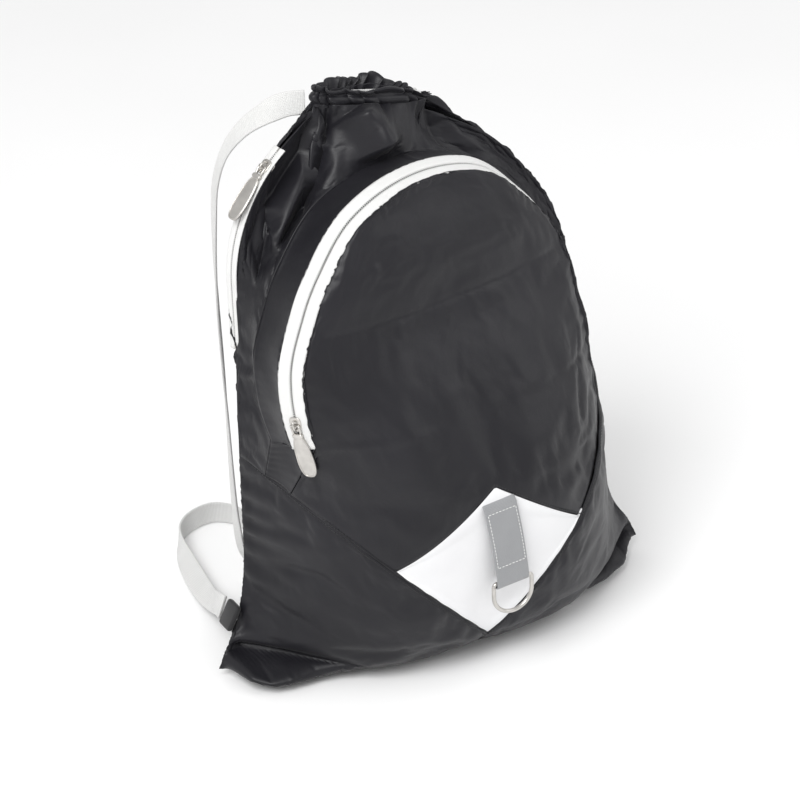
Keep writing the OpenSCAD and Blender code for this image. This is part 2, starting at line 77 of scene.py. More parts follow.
class Nodes:
    """A material's node tree, with short names for making and joining nodes."""

    def __init__(self, name):
        self.material = bpy.data.materials.new(name)
        self.material.use_nodes = True
        self.tree = self.material.node_tree
        self.shader = self.tree.nodes["Principled BSDF"]

    def add(self, kind, **values):
        node = self.tree.nodes.new(kind)
        for key, value in values.items():
            if key in node.inputs:
                node.inputs[key].default_value = value
            else:
                setattr(node, key, value)
        return node

    def join(self, source, output, target, socket):
        self.tree.links.new(source.outputs[output], target.inputs[socket])

    def set(self, **values):
        for key, value in values.items():
            self.shader.inputs[key.replace("_", " ")].default_value = value

    def coords(self, uv=False, scale=(1, 1, 1)):
        if uv:
            source, output = self.add("ShaderNodeUVMap", uv_map="weave"), "UV"
        else:
            source, output = self.add("ShaderNodeTexCoord"), "Object"
        mapping = self.add("ShaderNodeMapping")
        mapping.inputs["Scale"].default_value = scale
        self.join(source, output, mapping, "Vector")
        return mapping

    def noise(self, scale, detail=3.0, rough=0.5, uv=False, stretch=(1, 1, 1)):
        node = self.add("ShaderNodeTexNoise", Scale=scale, Detail=detail, Roughness=rough)
        self.join(self.coords(uv, stretch), "Vector", node, "Vector")
        return node

    def wave(self, scale, direction="X", uv=True, distortion=0.0, profile="SIN"):
        node = self.add("ShaderNodeTexWave", Scale=scale, Distortion=distortion)
        node.bands_direction = direction
        node.wave_profile = profile
        self.join(self.coords(uv), "Vector", node, "Vector")
        return node

    def ramp(self, source, output, stops):
        node = self.add("ShaderNodeValToRGB")
        while len(node.color_ramp.elements) < len(stops):
            node.color_ramp.elements.new(0.5)
        for element, (place, colour) in zip(node.color_ramp.elements, stops):
            element.position = place
            element.color = colour if len(colour) == 4 else (*colour, 1)
        self.join(source, output, node, "Fac")
        return node

    def span(self, source, output, low, high):
        node = self.add("ShaderNodeMapRange")
        node.inputs["To Min"].default_value = low
        node.inputs["To Max"].default_value = high
        self.join(source, output, node, "Value")
        return node

    def paint(self, source, dark, light, output="Fac", places=(0.3, 0.7)):
        stops = list(zip(places, (dark, light)))
        self.join(self.ramp(source, output, stops), "Color", self.shader, "Base Color")

    def roughen(self, source, low, high):
        self.join(self.span(source, "Fac", low, high), "Result", self.shader, "Roughness")

    def maths(self, kind, a, a_out, b, b_out):
        node = self.add("ShaderNodeMath", operation=kind)
        self.join(a, a_out, node, 0)
        self.join(b, b_out, node, 1)
        return node

    def bump(self, layers):
        """Chains bumps: (source, output, strength, distance in metres)."""
        last = None
        for source, output, strength, distance in layers:
            node = self.add("ShaderNodeBump", Strength=strength, Distance=distance)
            self.join(source, output, node, "Height")
            if last:
                self.join(last, "Normal", node, "Normal")
            last = node
        self.join(last, "Normal", self.shader, "Normal")


def nylon(name, dark, light, rough, sheen, shine):
    """Fine plain-weave nylon: satin, a little uneven in colour, with a faint thread grain."""
    m = Nodes(name)
    cloud = m.noise(9.0, 4.0)
    m.paint(cloud, dark, light)
    worn = m.noise(70.0, 3.0)
    m.roughen(worn, rough - 0.06, rough + 0.08)
    m.set(Sheen_Weight=sheen, Sheen_Roughness=0.45, Specular_IOR_Level=shine)
    warp, weft = m.wave(420.0, "X"), m.wave(420.0, "Y")
    weave = m.maths("MULTIPLY", warp, "Fac", weft, "Fac")
    crumple = m.noise(55.0, 4.0, 0.55)
    m.bump([(crumple, "Fac", 0.30, 0.0014), (weave, "Value", 0.25, 0.00012)])
    return m.material


def woven_band(name, dark, light, rib, across, rough, depth):
    """Coarse webbing or tape: ribs across, threads along, from the strip's own coordinates."""
    m = Nodes(name)
    ribs, threads = m.wave(rib, "X", distortion=0.6), m.wave(across, "Y", distortion=0.4)
    cloth = m.maths("MULTIPLY", ribs, "Fac", threads, "Fac")
    uneven = m.noise(45.0, 3.0, uv=True)
    mixed = m.maths("MULTIPLY_ADD", cloth, "Value", uneven, "Fac")
    mixed.inputs[2].default_value = 0.25
    m.paint(mixed, dark, light, "Value", (0.2, 0.75))
    m.roughen(uneven, rough - 0.08, rough + 0.08)
    m.set(Sheen_Weight=0.25, Sheen_Roughness=0.5, Specular_IOR_Level=0.3)
    m.bump([(cloth, "Value", 0.8, depth)])
    return m.material


def nickel(name, colour, rough):
    """Satin nickel plate with a fine brushed grain and faint handling marks."""
    m = Nodes(name)
    tone = m.noise(160.0, 4.0)
    m.paint(tone, tuple(0.82 * c for c in colour), colour)
    grain = m.noise(900.0, 2.0, 0.6, stretch=(1, 1, 0.08))
    m.roughen(grain, rough - 0.08, rough + 0.12)
    m.set(Metallic=1.0)
    m.bump([(grain, "Fac", 0.12, 0.0001)])
    return m.material


def thread(name, dark, light):
    """Twisted sewing thread."""
    m = Nodes(name)
    twist = m.noise(2200.0, 2.0)
    m.paint(twist, dark, light)
    m.roughen(twist, 0.5, 0.7)
    m.bump([(twist, "Fac", 0.4, 0.0001)])
    return m.material


def coil_plastic(name):
    m = Nodes(name)
    tone = m.noise(300.0, 3.0)
    m.paint(tone, (0.62, 0.62, 0.61), (0.76, 0.76, 0.75))
    m.roughen(tone, 0.3, 0.45)
    m.bump([(tone, "Fac", 0.15, 0.0001)])
    return m.material


def floor_paper(name):
    m = Nodes(name)
    tone = m.noise(3.0, 2.0)
    m.paint(tone, (0.92, 0.92, 0.92), (0.94, 0.94, 0.94))
    m.set(Roughness=0.7, Specular_IOR_Level=0.2)
    return m.material


# ---- Curves and surfaces, in millimetres ---------------------------------------


def table(*stops):
    return np.array(stops, float)


def smooth(t):
    t = np.clip(t, 0, 1)
    return t * t * (3 - 2 * t)


def window(v, a, b, c, d):
    """0 up to a, 1 from b to c, 0 after d."""
    return smooth((v - a) / (b - a)) * (1 - smooth((v - c) / (d - c)))


def unit(v):
    return v / np.maximum(np.linalg.norm(v, axis=-1, keepdims=True), 1e-9)


def along(stops, u):
    """A smooth curve through the stops, u counted in stops."""
    u = np.asarray(u, float)
    n = len(stops) - 1
    i = np.clip(np.floor(u).astype(int), 0, n - 1)
    f = (u - i)[..., None]
    a, b, c, d = (stops[np.clip(i + k, 0, n)] for k in (-1, 0, 1, 2))
    return 0.5 * (2 * b + (c - a) * f + (2 * a - 5 * b + 4 * c - d) * f ** 2
                  + (3 * b - a - 3 * c + d) * f ** 3)


LEFT_SEAM = table(
    [-182, 16, 8], [-170, 20, 24], [-156, 26, 50], [-149, 29, 90], [-147, 31, 150],
    [-144, 36, 205], [-138, 45, 254], [-135.5, 49, 306], [-126, 50, 350], [-101, 54, 386],
    [-57, 69, 411])
RIGHT_SEAM = table(
    [183, 10, 12], [175, 12, 28], [162, 16, 52], [156, 20, 90], [151, 24, 150], [145, 30, 206],
    [138, 36, 256], [128, 46, 302], [108, 54, 335], [80, 60, 366], [33, 70, 393])
FACE = table(
    [0, 18, 1], [0, -32, 1], [0, -70, 28], [0, -84, 80], [0, -87, 150], [0, -66, 210],
    [0, -42, 260], [0, -18, 308], [0, 0, 340], [0, 20, 370], [0, 40, 390])
BACK = table(
    [0, 18, 1], [0, 62, 1], [0, 84, 24], [0, 92, 80], [0, 94, 150], [0, 94, 208],
    [0, 93, 256], [0, 92, 306], [-2, 91, 346], [-6, 90, 382], [-12, 89, 404])
FACE_FULLNESS, BACK_FULLNESS = 3.3, 2.2
LAST = len(LEFT_SEAM) - 1

MOUTH = np.array([-12.0, 70, 402])
MOUTH_TILT = math.radians(11)
MOUTH_A, MOUTH_B = 46.0, 11.5
MOUTH_FOOT = 8.0
ARCH_R, ARCH_Y, ARCH_Z = 134.0, -12.0, 242.0
ARCH_LEAN, ARCH_TURN = math.radians(8.5), math.radians(9)
ARCH_TAIL, SLIDER_TAIL = 15.0, 6.0
BAND, BAND_TILT = 10.0, math.radians(66)
GUSSET_Y, GUSSET_LEAN, GUSSET_TURN = 13.0, math.radians(12.5), math.radians(3)
V_BASE, V_SLOPE = 26.0, 1.03
DIAMOND_HALF, DIAMOND_TOP = 78.0, 160.0


def sack(profile, fullness, s, u):
    """A point of the sack: s runs from the left seam (-1) to the right seam (1)."""
    side = np.where(s[..., None] < 0, along(LEFT_SEAM, u), along(RIGHT_SEAM, u))
    mid = along(profile, u)
    f = np.abs(s)[..., None]
    g = f ** fullness
    x = mid[..., :1] * (1 - f) + side[..., :1] * f
    rest = mid[..., 1:] * (1 - g) + side[..., 1:] * g
    return np.concatenate([x, rest], -1)


def v_height(x):
    return V_BASE + V_SLOPE * np.abs(x)


def face_top(x):
    peak = DIAMOND_TOP + (v_height(DIAMOND_HALF) - DIAMOND_TOP) * np.abs(x) / DIAMOND_HALF
    return np.where(np.abs(x) < DIAMOND_HALF, peak, v_height(x))


def halve(low, high, below, steps=24):
    """The place between low and high, for each element, up to which below() holds."""
    for _ in range(steps):
        middle = (low + high) / 2
        held = below(middle)
        low, high = np.where(held, middle, low), np.where(held, high, middle)
    return (low + high) / 2


def station_at(s, limit):
    """Station at which each column of the face reaches the height that limit(x) gives."""
    def below(u):
        p = sack(FACE, FACE_FULLNESS, s, u)
        return p[..., 2] < limit(p[..., 0])

    return halve(np.full_like(s, 0.5), np.full_like(s, 9.0), below)


def arch_point(angle, across, out=0.0):
    """A point of the pocket's zip. The angle starts at the left and goes over the top, across is
    measured from the chain towards the bag, out towards the eye."""
    turn = np.degrees(angle)
    slack = 4 * window(turn, 8, 28, 40, 62) + 8 * window(turn, 108, 136, 176, 195)
    radial = ARCH_R - slack + across * math.cos(BAND_TILT) + out * math.sin(BAND_TILT)
    back = across * math.sin(BAND_TILT) - out * math.cos(BAND_TILT)
    side, up = -radial * np.cos(angle), radial * np.sin(angle)
    depth = back * math.cos(ARCH_LEAN) + up * math.sin(ARCH_LEAN)
    x = side * math.cos(ARCH_TURN) - depth * math.sin(ARCH_TURN)
    y = ARCH_Y + side * math.sin(ARCH_TURN) + depth * math.cos(ARCH_TURN)
    y = y + 5 * window(turn, 112, 140, 176, 195)
    z = ARCH_Z + up * math.cos(ARCH_LEAN) - back * math.sin(ARCH_LEAN)
    return np.stack(np.broadcast_arrays(x, y, z), -1)


def plane_normal(lean, turn):
    return np.array([-math.cos(lean) * math.sin(turn), math.cos(lean) * math.cos(turn), -math.sin(lean)])


def gusset_edge(angle, clear=0.0):
    """The seam between the strip behind the zip and the front of the bag."""
    front = arch_point(angle, BAND, 0.0)
    back, end = plane_normal(ARCH_LEAN, ARCH_TURN), plane_normal(GUSSET_LEAN, GUSSET_TURN)
    run = (np.array([0, GUSSET_Y, ARCH_Z]) - front) @ end / (back @ end)
    outwards = unit(arch_point(angle, 0, 1.0) - arch_point(angle, 0, 0.0))
    return front + np.maximum(run, 1.5)[..., None] * back + clear * outwards


def mouth_point(angle, a, b, height):
    """A point round the mouth. The angle is 0 at the front, -90 degrees at the left end."""
    x, y = a * np.sin(angle), -b * np.cos(angle)
    c, s = math.cos(MOUTH_TILT), math.sin(MOUTH_TILT)
    return np.stack(np.broadcast_arrays(
        MOUTH[0] + x * c + height * s, MOUTH[1] + y, MOUTH[2] - x * s + height * c), -1)


def normals_of(grid):
    du = np.gradient(grid, axis=1)
    dv = np.gradient(grid, axis=0)
    return unit(np.cross(du, dv))


def fold(grid, line, width, height, ends=0.25):
    """Height of a fold or crease that follows a line of points, tapering at its ends."""
    line = np.array(line, float)
    best = np.full(grid.shape[:-1], 1e9)
    place = np.zeros(grid.shape[:-1])
    spans = np.linalg.norm(np.diff(line, axis=0), axis=1)
    total, done = spans.sum(), 0.0
    for a, b, span in zip(line, line[1:], spans):
        t = np.clip(((grid - a) @ (b - a)) / span ** 2, 0, 1)
        d = np.linalg.norm(grid - (a + t[..., None] * (b - a)), axis=-1)
        nearer = d < best
        best = np.where(nearer, d, best)
        place = np.where(nearer, (done + t * span) / total, place)
        done += span
    taper = smooth(place / ends) * smooth((1 - place) / ends)
    return height * taper * np.exp(-(best / width) ** 2)


def crumple(grid, size, amount, stretch=(1, 1, 1), seed=0.0):
    """Gentle unevenness of slack cloth."""
    flat = (grid * np.array(stretch) / size + seed).reshape(-1, 3)
    values = np.array([noise.noise(Vector(p)) for p in flat])
    return amount * values.reshape(grid.shape[:-1])


# ---- Meshes --------------------------------------------------------------------


def mesh_object(name, points, faces, material, uvs=None, smooth_faces=True):
    mesh = bpy.data.meshes.new(name)
    mesh.from_pydata((np.asarray(points) * MM).tolist(), [], faces)
    if uvs is not None:
        layer = mesh.uv_layers.new(name="weave")
        corner = np.zeros(len(mesh.loops), np.int32)
        mesh.loops.foreach_get("vertex_index", corner)
        layer.data.foreach_set("uv", np.asarray(uvs, np.float32)[corner].ravel())
    mesh.polygons.foreach_set("use_smooth", [smooth_faces] * len(mesh.polygons))
    mesh.update()
    obj = bpy.data.objects.new(name, mesh)
    bpy.context.scene.collection.objects.link(obj)
    if material:
        mesh.materials.append(material)
    return obj


def grid_faces(rows, cols, ring=False, flip=False):
    faces = []
    for r in range(rows - 1):
        for c in range(cols if ring else cols - 1):
            d = (c + 1) % cols
            quad = (r * cols + c, r * cols + d, (r + 1) * cols + d, (r + 1) * cols + c)
            faces.append(quad[::-1] if flip else quad)
    return faces


def ring_faces(rows, cols, closed=False):
    """Faces between rings of points. The ends are capped unless the last ring meets the first."""
    faces = grid_faces(rows, cols, ring=True)
    last = (rows - 1) * cols
    if closed:
        return faces + [(last + c, last + (c + 1) % cols, (c + 1) % cols, c) for c in range(cols)]
    return faces + [tuple(range(cols))[::-1], tuple(last + c for c in range(cols))]


def lengths(path):
    """Distance along a path, at each of its points."""
    return np.concatenate([[0], np.cumsum(np.linalg.norm(np.diff(path, axis=0), axis=-1))])


def grid_uvs(grid):
    """Lengths along and across the strip, in metres."""
    du = np.linalg.norm(np.diff(grid, axis=1), axis=-1).mean(0)
    dv = np.linalg.norm(np.diff(grid, axis=0), axis=-1).mean(1)
    u = np.concatenate([[0], np.cumsum(du)]) * MM
    v = np.concatenate([[0], np.cumsum(dv)]) * MM
    return np.stack(np.meshgrid(u, v), -1).reshape(-1, 2)


def apply_modifiers(obj):
    bpy.context.view_layer.update()
    graph = bpy.context.evaluated_depsgraph_get()
    baked = bpy.data.meshes.new_from_object(obj.evaluated_get(graph))
    old = obj.data
    obj.modifiers.clear()
    obj.data = baked
    bpy.data.meshes.remove(old)
    return obj


def cloth_piece(name, grid, material, slot, node, thickness=1.1, ring=False, flip=False):
    """A sewn piece: the grid's face on the outside, the cloth's thickness inside it."""
    grid = grid.copy()
    grid[..., 2] = np.maximum(grid[..., 2], FLOOR_GAP)
    obj = mesh_object(name, grid.reshape(-1, 3),
                      grid_faces(*grid.shape[:2], ring, flip), material, grid_uvs(grid))
    solid = obj.modifiers.new("thickness", "SOLIDIFY")
    solid.thickness = thickness * MM
    solid.offset = -1
    solid.use_even_offset = False
    return place(apply_modifiers(obj), "bag", slot, node)


# How firmly the rows next to a panel's edge are held, from the edge inwards
PIN_LEVELS = (1.0, 1.0, 0.25)
SETTLING_FRAMES = 16


def edge_pins(rows, cols):
    pins = np.zeros((rows, cols))
    for k, level in enumerate(PIN_LEVELS):
        for edge in (pins[k, :], pins[-1 - k, :], pins[:, k], pins[:, -1 - k]):
            edge[:] = np.maximum(edge, level)
    return pins


def relax(grid, pressure, grow, cap, flip):
    """Lets the cloth settle: pinned at its seams, a little larger than its frame, blown out by
    what is packed behind it. No point moves further than cap."""
    rows, cols = grid.shape[:2]
    obj = mesh_object("settling", grid.reshape(-1, 3), grid_faces(rows, cols, False, flip), None)
    group = obj.vertex_groups.new(name="pins")
    pins = edge_pins(rows, cols).reshape(-1)
    for level in sorted(set(PIN_LEVELS), reverse=True):
        group.add(np.nonzero(pins == level)[0].tolist(), level, "REPLACE")
    cloth = obj.modifiers.new("cloth", "CLOTH")
    s = cloth.settings
    s.quality = 4
    s.mass = 0.15
    s.tension_stiffness = s.compression_stiffness = 12
    s.shear_stiffness = 6
    s.bending_stiffness = 0.6
    s.tension_damping = s.compression_damping = s.shear_damping = 8
    s.bending_damping = 1.0
    s.air_damping = 4.0
    s.vertex_group_mass = "pins"
    s.pin_stiffness = 1.0
    s.shrink_min = -grow
    s.use_pressure = True
    s.uniform_pressure_force = pressure
    s.use_pressure_volume = False
    s.effector_weights.gravity = 0
    cloth.collision_settings.use_collision = False
    cloth.point_cache.frame_start = 1
    cloth.point_cache.frame_end = SETTLING_FRAMES
    scene = bpy.context.scene
    for number in range(1, SETTLING_FRAMES + 1):
        scene.frame_set(number)
    settled = obj.evaluated_get(bpy.context.evaluated_depsgraph_get())
    mesh = settled.to_mesh()
    co = np.zeros(len(mesh.vertices) * 3, np.float32)
    mesh.vertices.foreach_get("co", co)
    settled.to_mesh_clear()
    scene.frame_set(1)
    bpy.data.objects.remove(obj)
    move = co.reshape(rows, cols, 3).astype(float) / MM - grid
    far = np.linalg.norm(move, axis=-1, keepdims=True)
    return grid + move * np.minimum(1.0, cap / np.maximum(far, 1e-6))


def sweep(path, across, section):
    """Rings of a section carried along a path; across is the section's first axis."""
    tangent = unit(np.gradient(path, axis=0))
    across = unit(across - (across * tangent).sum(-1, keepdims=True) * tangent)
    normal = np.cross(tangent, across)
    return (path[:, None] + section[None, :, :1] * across[:, None]
            + section[None, :, 1:] * normal[:, None])


def tube_object(name, rings, material, closed=False):
    n, m = rings.shape[:2]
    run = np.repeat(lengths(rings.mean(1))[:, None], m, 1)
    around = np.tile(lengths(rings[0]), (n, 1))
    uvs = np.stack([run, around], -1).reshape(-1, 2) * MM
    return mesh_object(name, rings.reshape(-1, 3), ring_faces(n, m, closed), material, uvs)


def place(obj, body, slot, *nodes):
    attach(obj, body)
    if nodes:
        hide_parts(*nodes)
    return obj


def panel(name, grid, shell, node, flip=True):
    """A stuffed panel of the sack or the pocket."""
    obj = cloth_piece(name, grid, shell, "shell_fabric", node, flip=flip)


def round_section(radius, count=12):
    a = np.linspace(0, 2 * math.pi, count, endpoint=False)
    return np.stack([radius * np.cos(a), radius * np.sin(a)], -1)


def joined(name, parts, material):
    """One object from several (points, faces) pieces."""
    points, faces, base = [], [], 0
    for p, f in parts:
        points.append(p)
        faces += [tuple(i + base for i in face) for face in f]
        base += len(p)
    return mesh_object(name, np.concatenate(points), faces, material)


def stitches(name, path, up, material, length=1.9, radius=0.34, pitch=2.6):
    """A row of stitches lying on the cloth along a path; up points out of the cloth."""
    span = lengths(path)
    count = max(int(span[-1] / pitch), 1)
    centres = (np.arange(count) + 0.5) * span[-1] / count

    def sampled(line, at):
        return np.stack([np.interp(at, span, line[:, k]) for k in range(3)], -1)

    ups = unit(sampled(up, centres))
    way = unit(sampled(path, centres + 0.3) - sampled(path, centres - 0.3))
    around = np.linspace(0, 2 * math.pi, 6, endpoint=False)
    profile = ((-0.5, 0.35, -0.5), (-0.3, 1.0, 0.2), (0, 1.1, 0.4), (0.3, 1.0, 0.2), (0.5, 0.35, -0.5))
    parts = []
    for p, w, s, n in zip(sampled(path, centres), way, np.cross(way, ups), ups):
        rings = []
        for t, r, rise in profile:
            centre = p + t * length * w + rise * radius * n
            rings.append([centre + r * radius * (math.cos(a) * s + math.sin(a) * n) for a in around])
        parts.append((np.array(rings).reshape(-1, 3), ring_faces(len(profile), 6)))
    return place(joined(name, parts, material), "bag", "seam_thread")


# ---- The straps ----------------------------------------------------------------

STRAP_W, STRAP_T = 18.0, 2.0
LEFT_ROUTE = [
    ((-0.061, 0.071, 0.419), (0, 0.25, 1)),
    ((-0.076, 0.073, 0.42), (0, 0.45, 1)),
    ((-0.092, 0.076, 0.415), (0.3, 0.8, 0.7)),
    ((-0.106, 0.082, 0.405), (0.4, 1, 0.5)),
    ((-0.118, 0.088, 0.388), (0.4, 1, 0.3)),
    ((-0.125, 0.092, 0.364), (0.3, 1, 0.1)),
    ((-0.127, 0.094, 0.336), (0.3, 1, 0)),
    ((-0.128, 0.095, 0.3), (0.4, 1, 0)),
    ((-0.128, 0.095, 0.26), (0.5, 1, 0)),
    ((-0.127, 0.095, 0.215), (0.5, 1, 0)),
    ((-0.126, 0.095, 0.17), (0.4, 1, 0)),
    ((-0.125, 0.096, 0.125), (0.3, 1, 0)),
    ((-0.123, 0.098, 0.085), (0.2, 1, 0.1)),
    ((-0.118, 0.103, 0.05), (0, 1, 0.3)),
    ((-0.108, 0.114, 0.024), (-0.2, 0.7, 0.8)),
    ((-0.094, 0.132, 0.012), (-0.2, 0.3, 1)),
    ((-0.08, 0.156, 0.01), (0, 0.1, 1)),
    ((-0.072, 0.182, 0.01), (0, 0.1, 1)),
    ((-0.074, 0.206, 0.01), (0, 0.1, 1)),
    ((-0.088, 0.22, 0.01), (0, 0.1, 1)),
    ((-0.108, 0.217, 0.01), (0, 0.1, 1)),
    ((-0.124, 0.204, 0.01), (0.1, 0.1, 1)),
    ((-0.133, 0.186, 0.01), (0.3, 0, 1)),
    ((-0.138, 0.164, 0.009), (0.6, 0, 0.8)),
    ((-0.142, 0.138, 0.008), (0.8, 0.1, 0.6)),
    ((-0.147, 0.11, 0.012), (0.7, 0.2, 0.7)),
    ((-0.153, 0.082, 0.022), (0.4, 0.2, 0.9)),
    ((-0.161, 0.06, 0.036), (0.3, 0.1, 1)),
    ((-0.165, 0.0396, 0.044), (0.45, 0, 0.9)),
]
RIGHT_ROUTE = [
    ((0.032, 0.093, 0.397), (-0.8, 0.5, -0.3)),
    ((0.041, 0.097, 0.384), (-0.8, 0.5, -0.3)),
    ((0.05, 0.1, 0.369), (-0.9, 0.4, -0.2)),
    ((0.059, 0.101, 0.352), (-1, 0.3, 0)),
    ((0.069, 0.102, 0.33), (-1, 0.2, 0)),
    ((0.078, 0.102, 0.3), (-1, 0.1, 0)),
    ((0.08, 0.102, 0.255), (-1, 0, 0)),
    ((0.082, 0.102, 0.205), (-1, 0, 0)),
    ((0.084, 0.102, 0.155), (-1, 0, 0)),
    ((0.086, 0.102, 0.105), (-1, 0, 0)),
    ((0.087, 0.104, 0.065), (-1, 0, 0.1)),
    ((0.088, 0.112, 0.034), (-1, 0.2, 0.1)),
    ((0.088, 0.13, 0.014), (-0.9, 0.3, 0.2)),
    ((0.086, 0.154, 0.01), (-0.5, 0.2, 0.9)),
    ((0.082, 0.18, 0.01), (0, 0.1, 1)),
    ((0.084, 0.204, 0.01), (0, 0.1, 1)),
    ((0.098, 0.216, 0.01), (0, 0.1, 1)),
    ((0.116, 0.208, 0.01), (0, 0.1, 1)),
    ((0.124, 0.188, 0.01), (0, 0.1, 1)),
    ((0.126, 0.162, 0.01), (0, 0.1, 1)),
    ((0.128, 0.134, 0.01), (0, 0.1, 1)),
    ((0.134, 0.104, 0.014), (0, 0.1, 1)),
    ((0.144, 0.076, 0.024), (0, 0.1, 1)),
    ((0.157, 0.06, 0.034), (-0.3, 0.1, 1)),
    ((0.163, 0.0474, 0.04), (-0.45, 0, 0.9)),
]


def strap_section():
    """A flat woven strap: rounded edges and a slightly thicker selvedge."""
    half, thick = STRAP_W / 2, STRAP_T / 2
    top = [(-half, 0), (-half + 0.4, 0.75 * thick), (-half + 1.4, thick), (-half + 2.6, 0.8 * thick)]
    across = top + [(x, 0.82 * thick) for x in (-4, -2, 0, 2, 4)] + [(-x, y) for x, y in top[::-1]]
    under = [(x, -y) for x, y in across[::-1][1:-1]]
    return np.array(across + under)


def make_strap(name, route, material):
    stops, widths = table(*[p for p, _ in route]) / MM, table(*[w for _, w in route])
    u = np.linspace(0, len(route) - 1, 10 * (len(route) - 1) + 1)
    path = along(stops, u)
    rings = sweep(path, along(widths, u), strap_section())
    obj = tube_object(name, rings, material)
    place(obj, "bag", "strap_cotton", name.replace("_webbing", ""))


# ---- Shared seams ----------------------------------------------------------------

ZIP_ACROSS = np.array([-0.139, 0.990, 0.0])
ZIP_GAP = 4.5
LEFT_V, RIGHT_V = 4.42, 4.5
FRONT_LEFT_END, FRONT_RIGHT_END = 0.36, 0.62


def zip_gap(u):
    """Half of the opening that the side zip fills in the left seam."""
    return (ZIP_GAP * window(u, 5.95, 6.15, 8.9, 9.3))[..., None] * ZIP_ACROSS


def pleat(angle):
    """Pleats round the mouth: rounded outside, sharp inside, narrow at the left, wide at the right."""
    phase = 12.5 * angle - 5.5 * np.sin(angle + 0.35)
    phase = phase + 1.1 * np.sin(3 * angle + 1) + 0.8 * np.sin(7 * angle)
    tall = 0.72 + 0.28 * np.sin(5 * angle + 2.0) * np.sin(2 * angle + 0.5)
    return (2 * np.abs(np.cos(phase)) ** 0.75 - 1.1) * tall


def wide_fold(angle):
    return np.sin(4 * angle + 0.8) * 0.6 + np.sin(7 * angle + 2.1) * 0.4


# ---- Front panel: from the pocket's side strip out to the seams and the mouth ---------

FRONT_KNOTS = (0, 0.07, FRONT_LEFT_END, FRONT_RIGHT_END, 0.93, 1)
FRONT_ANGLES = (-15, -15, 55, 112, 195, 195)
LEFT_V_POINT, RIGHT_V_POINT = np.array([-139, 5, 168.0]), np.array([140, 6, 170.0])


def front_outer(t):
    u = np.where(t < 0.5,
                 np.interp(t, [0, FRONT_LEFT_END], [LEFT_V, LAST]),
                 np.interp(t, [FRONT_RIGHT_END, 1], [LAST, RIGHT_V]))
    left = along(LEFT_SEAM, u) - zip_gap(u)
    right = along(RIGHT_SEAM, u)
    angle = np.radians(np.interp(t, [FRONT_LEFT_END, FRONT_RIGHT_END], [-90, 90]))
    top = mouth_point(angle, MOUTH_A, MOUTH_B, MOUTH_FOOT)
    top = np.where((t > FRONT_RIGHT_END)[..., None], right, top)
    return np.where((t < FRONT_LEFT_END)[..., None], left, top), angle


def front_inner(t):
    angle = np.radians(np.interp(t, FRONT_KNOTS, FRONT_ANGLES))
    rim = gusset_edge(angle, 0.4)
    left = smooth((FRONT_KNOTS[1] - t) / FRONT_KNOTS[1])[..., None]
    right = smooth((t - FRONT_KNOTS[4]) / (1 - FRONT_KNOTS[4]))[..., None]
    return rim * (1 - left - right) + LEFT_V_POINT * left + RIGHT_V_POINT * right


def front_base(t, w):
    """t goes round from the left end of the V seam over the top to the right end, w goes outwards."""
    outer, angle = front_outer(t)
    inner = front_inner(t)
    return inner + (outer - inner) * w[..., None], angle


def front_grid():
    rows, cols = 70, 300
    t, w = np.meshgrid(np.linspace(0, 1, cols), np.linspace(0, 1, rows))
    base, angle = front_base(t, w)
    out = -normals_of(base)
    swell = np.interp(t, [0, 0.06, 0.2, 0.3, 0.37, 0.43, 0.5, 0.55, 0.62, 0.75, 1],
                      [0, 4, 7, 13, 12, 2, -8, 2, 10, 9, 0])
    grid = base + out * (swell * 4 * w * (1 - w))[..., None]

    def at(a, b):
        return grid[int(round(b * (rows - 1))), int(round(a * (cols - 1)))]

    away = np.linalg.norm(base - base[-1:], axis=-1)
    left, right = FRONT_LEFT_END, FRONT_RIGHT_END
    at_mouth = window(t, left - 0.02, left + 0.02, right - 0.02, right + 0.02)
    move = 2.6 * pleat(angle) * np.exp(-away / 12) + 3.0 * wide_fold(angle) * np.exp(-away / 30)
    move = at_mouth * move
    for line, width, height, ends in FRONT_FOLDS:
        move = move + fold(grid, [at(*p) for p in line], width, height, ends)
    move = move + crumple(grid, 34, 1.1, seed=3.0) + crumple(grid, 13, 0.45, seed=9.0)
    hold = smooth(w / 0.06) * smooth((1 - w) / 0.05 + at_mouth)
    return grid + out * (move * hold)[..., None]


# Folds of the front panel: stops (t, w), width, height and how soon the ends taper
FRONT_FOLDS = [
    ([(0.40, 0.98), (0.35, 0.72), (0.30, 0.55), (0.26, 0.45), (0.22, 0.35)], 5.5, 6.5, 0.15),
    ([(0.43, 0.98), (0.40, 0.6), (0.36, 0.3), (0.30, 0.12)], 6.5, 9.0, 0.12),
    ([(0.415, 0.92), (0.375, 0.6), (0.33, 0.36), (0.27, 0.26)], 7.5, -10.0, 0.2),
    ([(0.46, 0.97), (0.48, 0.6), (0.50, 0.15)], 13.0, -17.0, 0.15),
    ([(0.57, 0.98), (0.62, 0.6), (0.68, 0.3)], 6.0, 3.5, 0.15),
    ([(0.60, 0.98), (0.66, 0.7), (0.72, 0.5)], 5.0, -3.0, 0.2),
    ([(0.13, 0.1), (0.10, 0.6), (0.08, 0.95)], 5.0, -2.0, 0.3),
    ([(0.05, 0.2), (0.09, 0.55), (0.15, 0.8)], 6.0, 2.0, 0.3),
    ([(0.85, 0.2), (0.88, 0.6), (0.93, 0.9)], 6.0, -2.0, 0.3),
]


def make_front(shell):
    panel("front_shell", relax(front_grid(), 1.5, 0.012, 5.0, True), shell, "front_panel")


# ---- Back panel ------------------------------------------------------------------


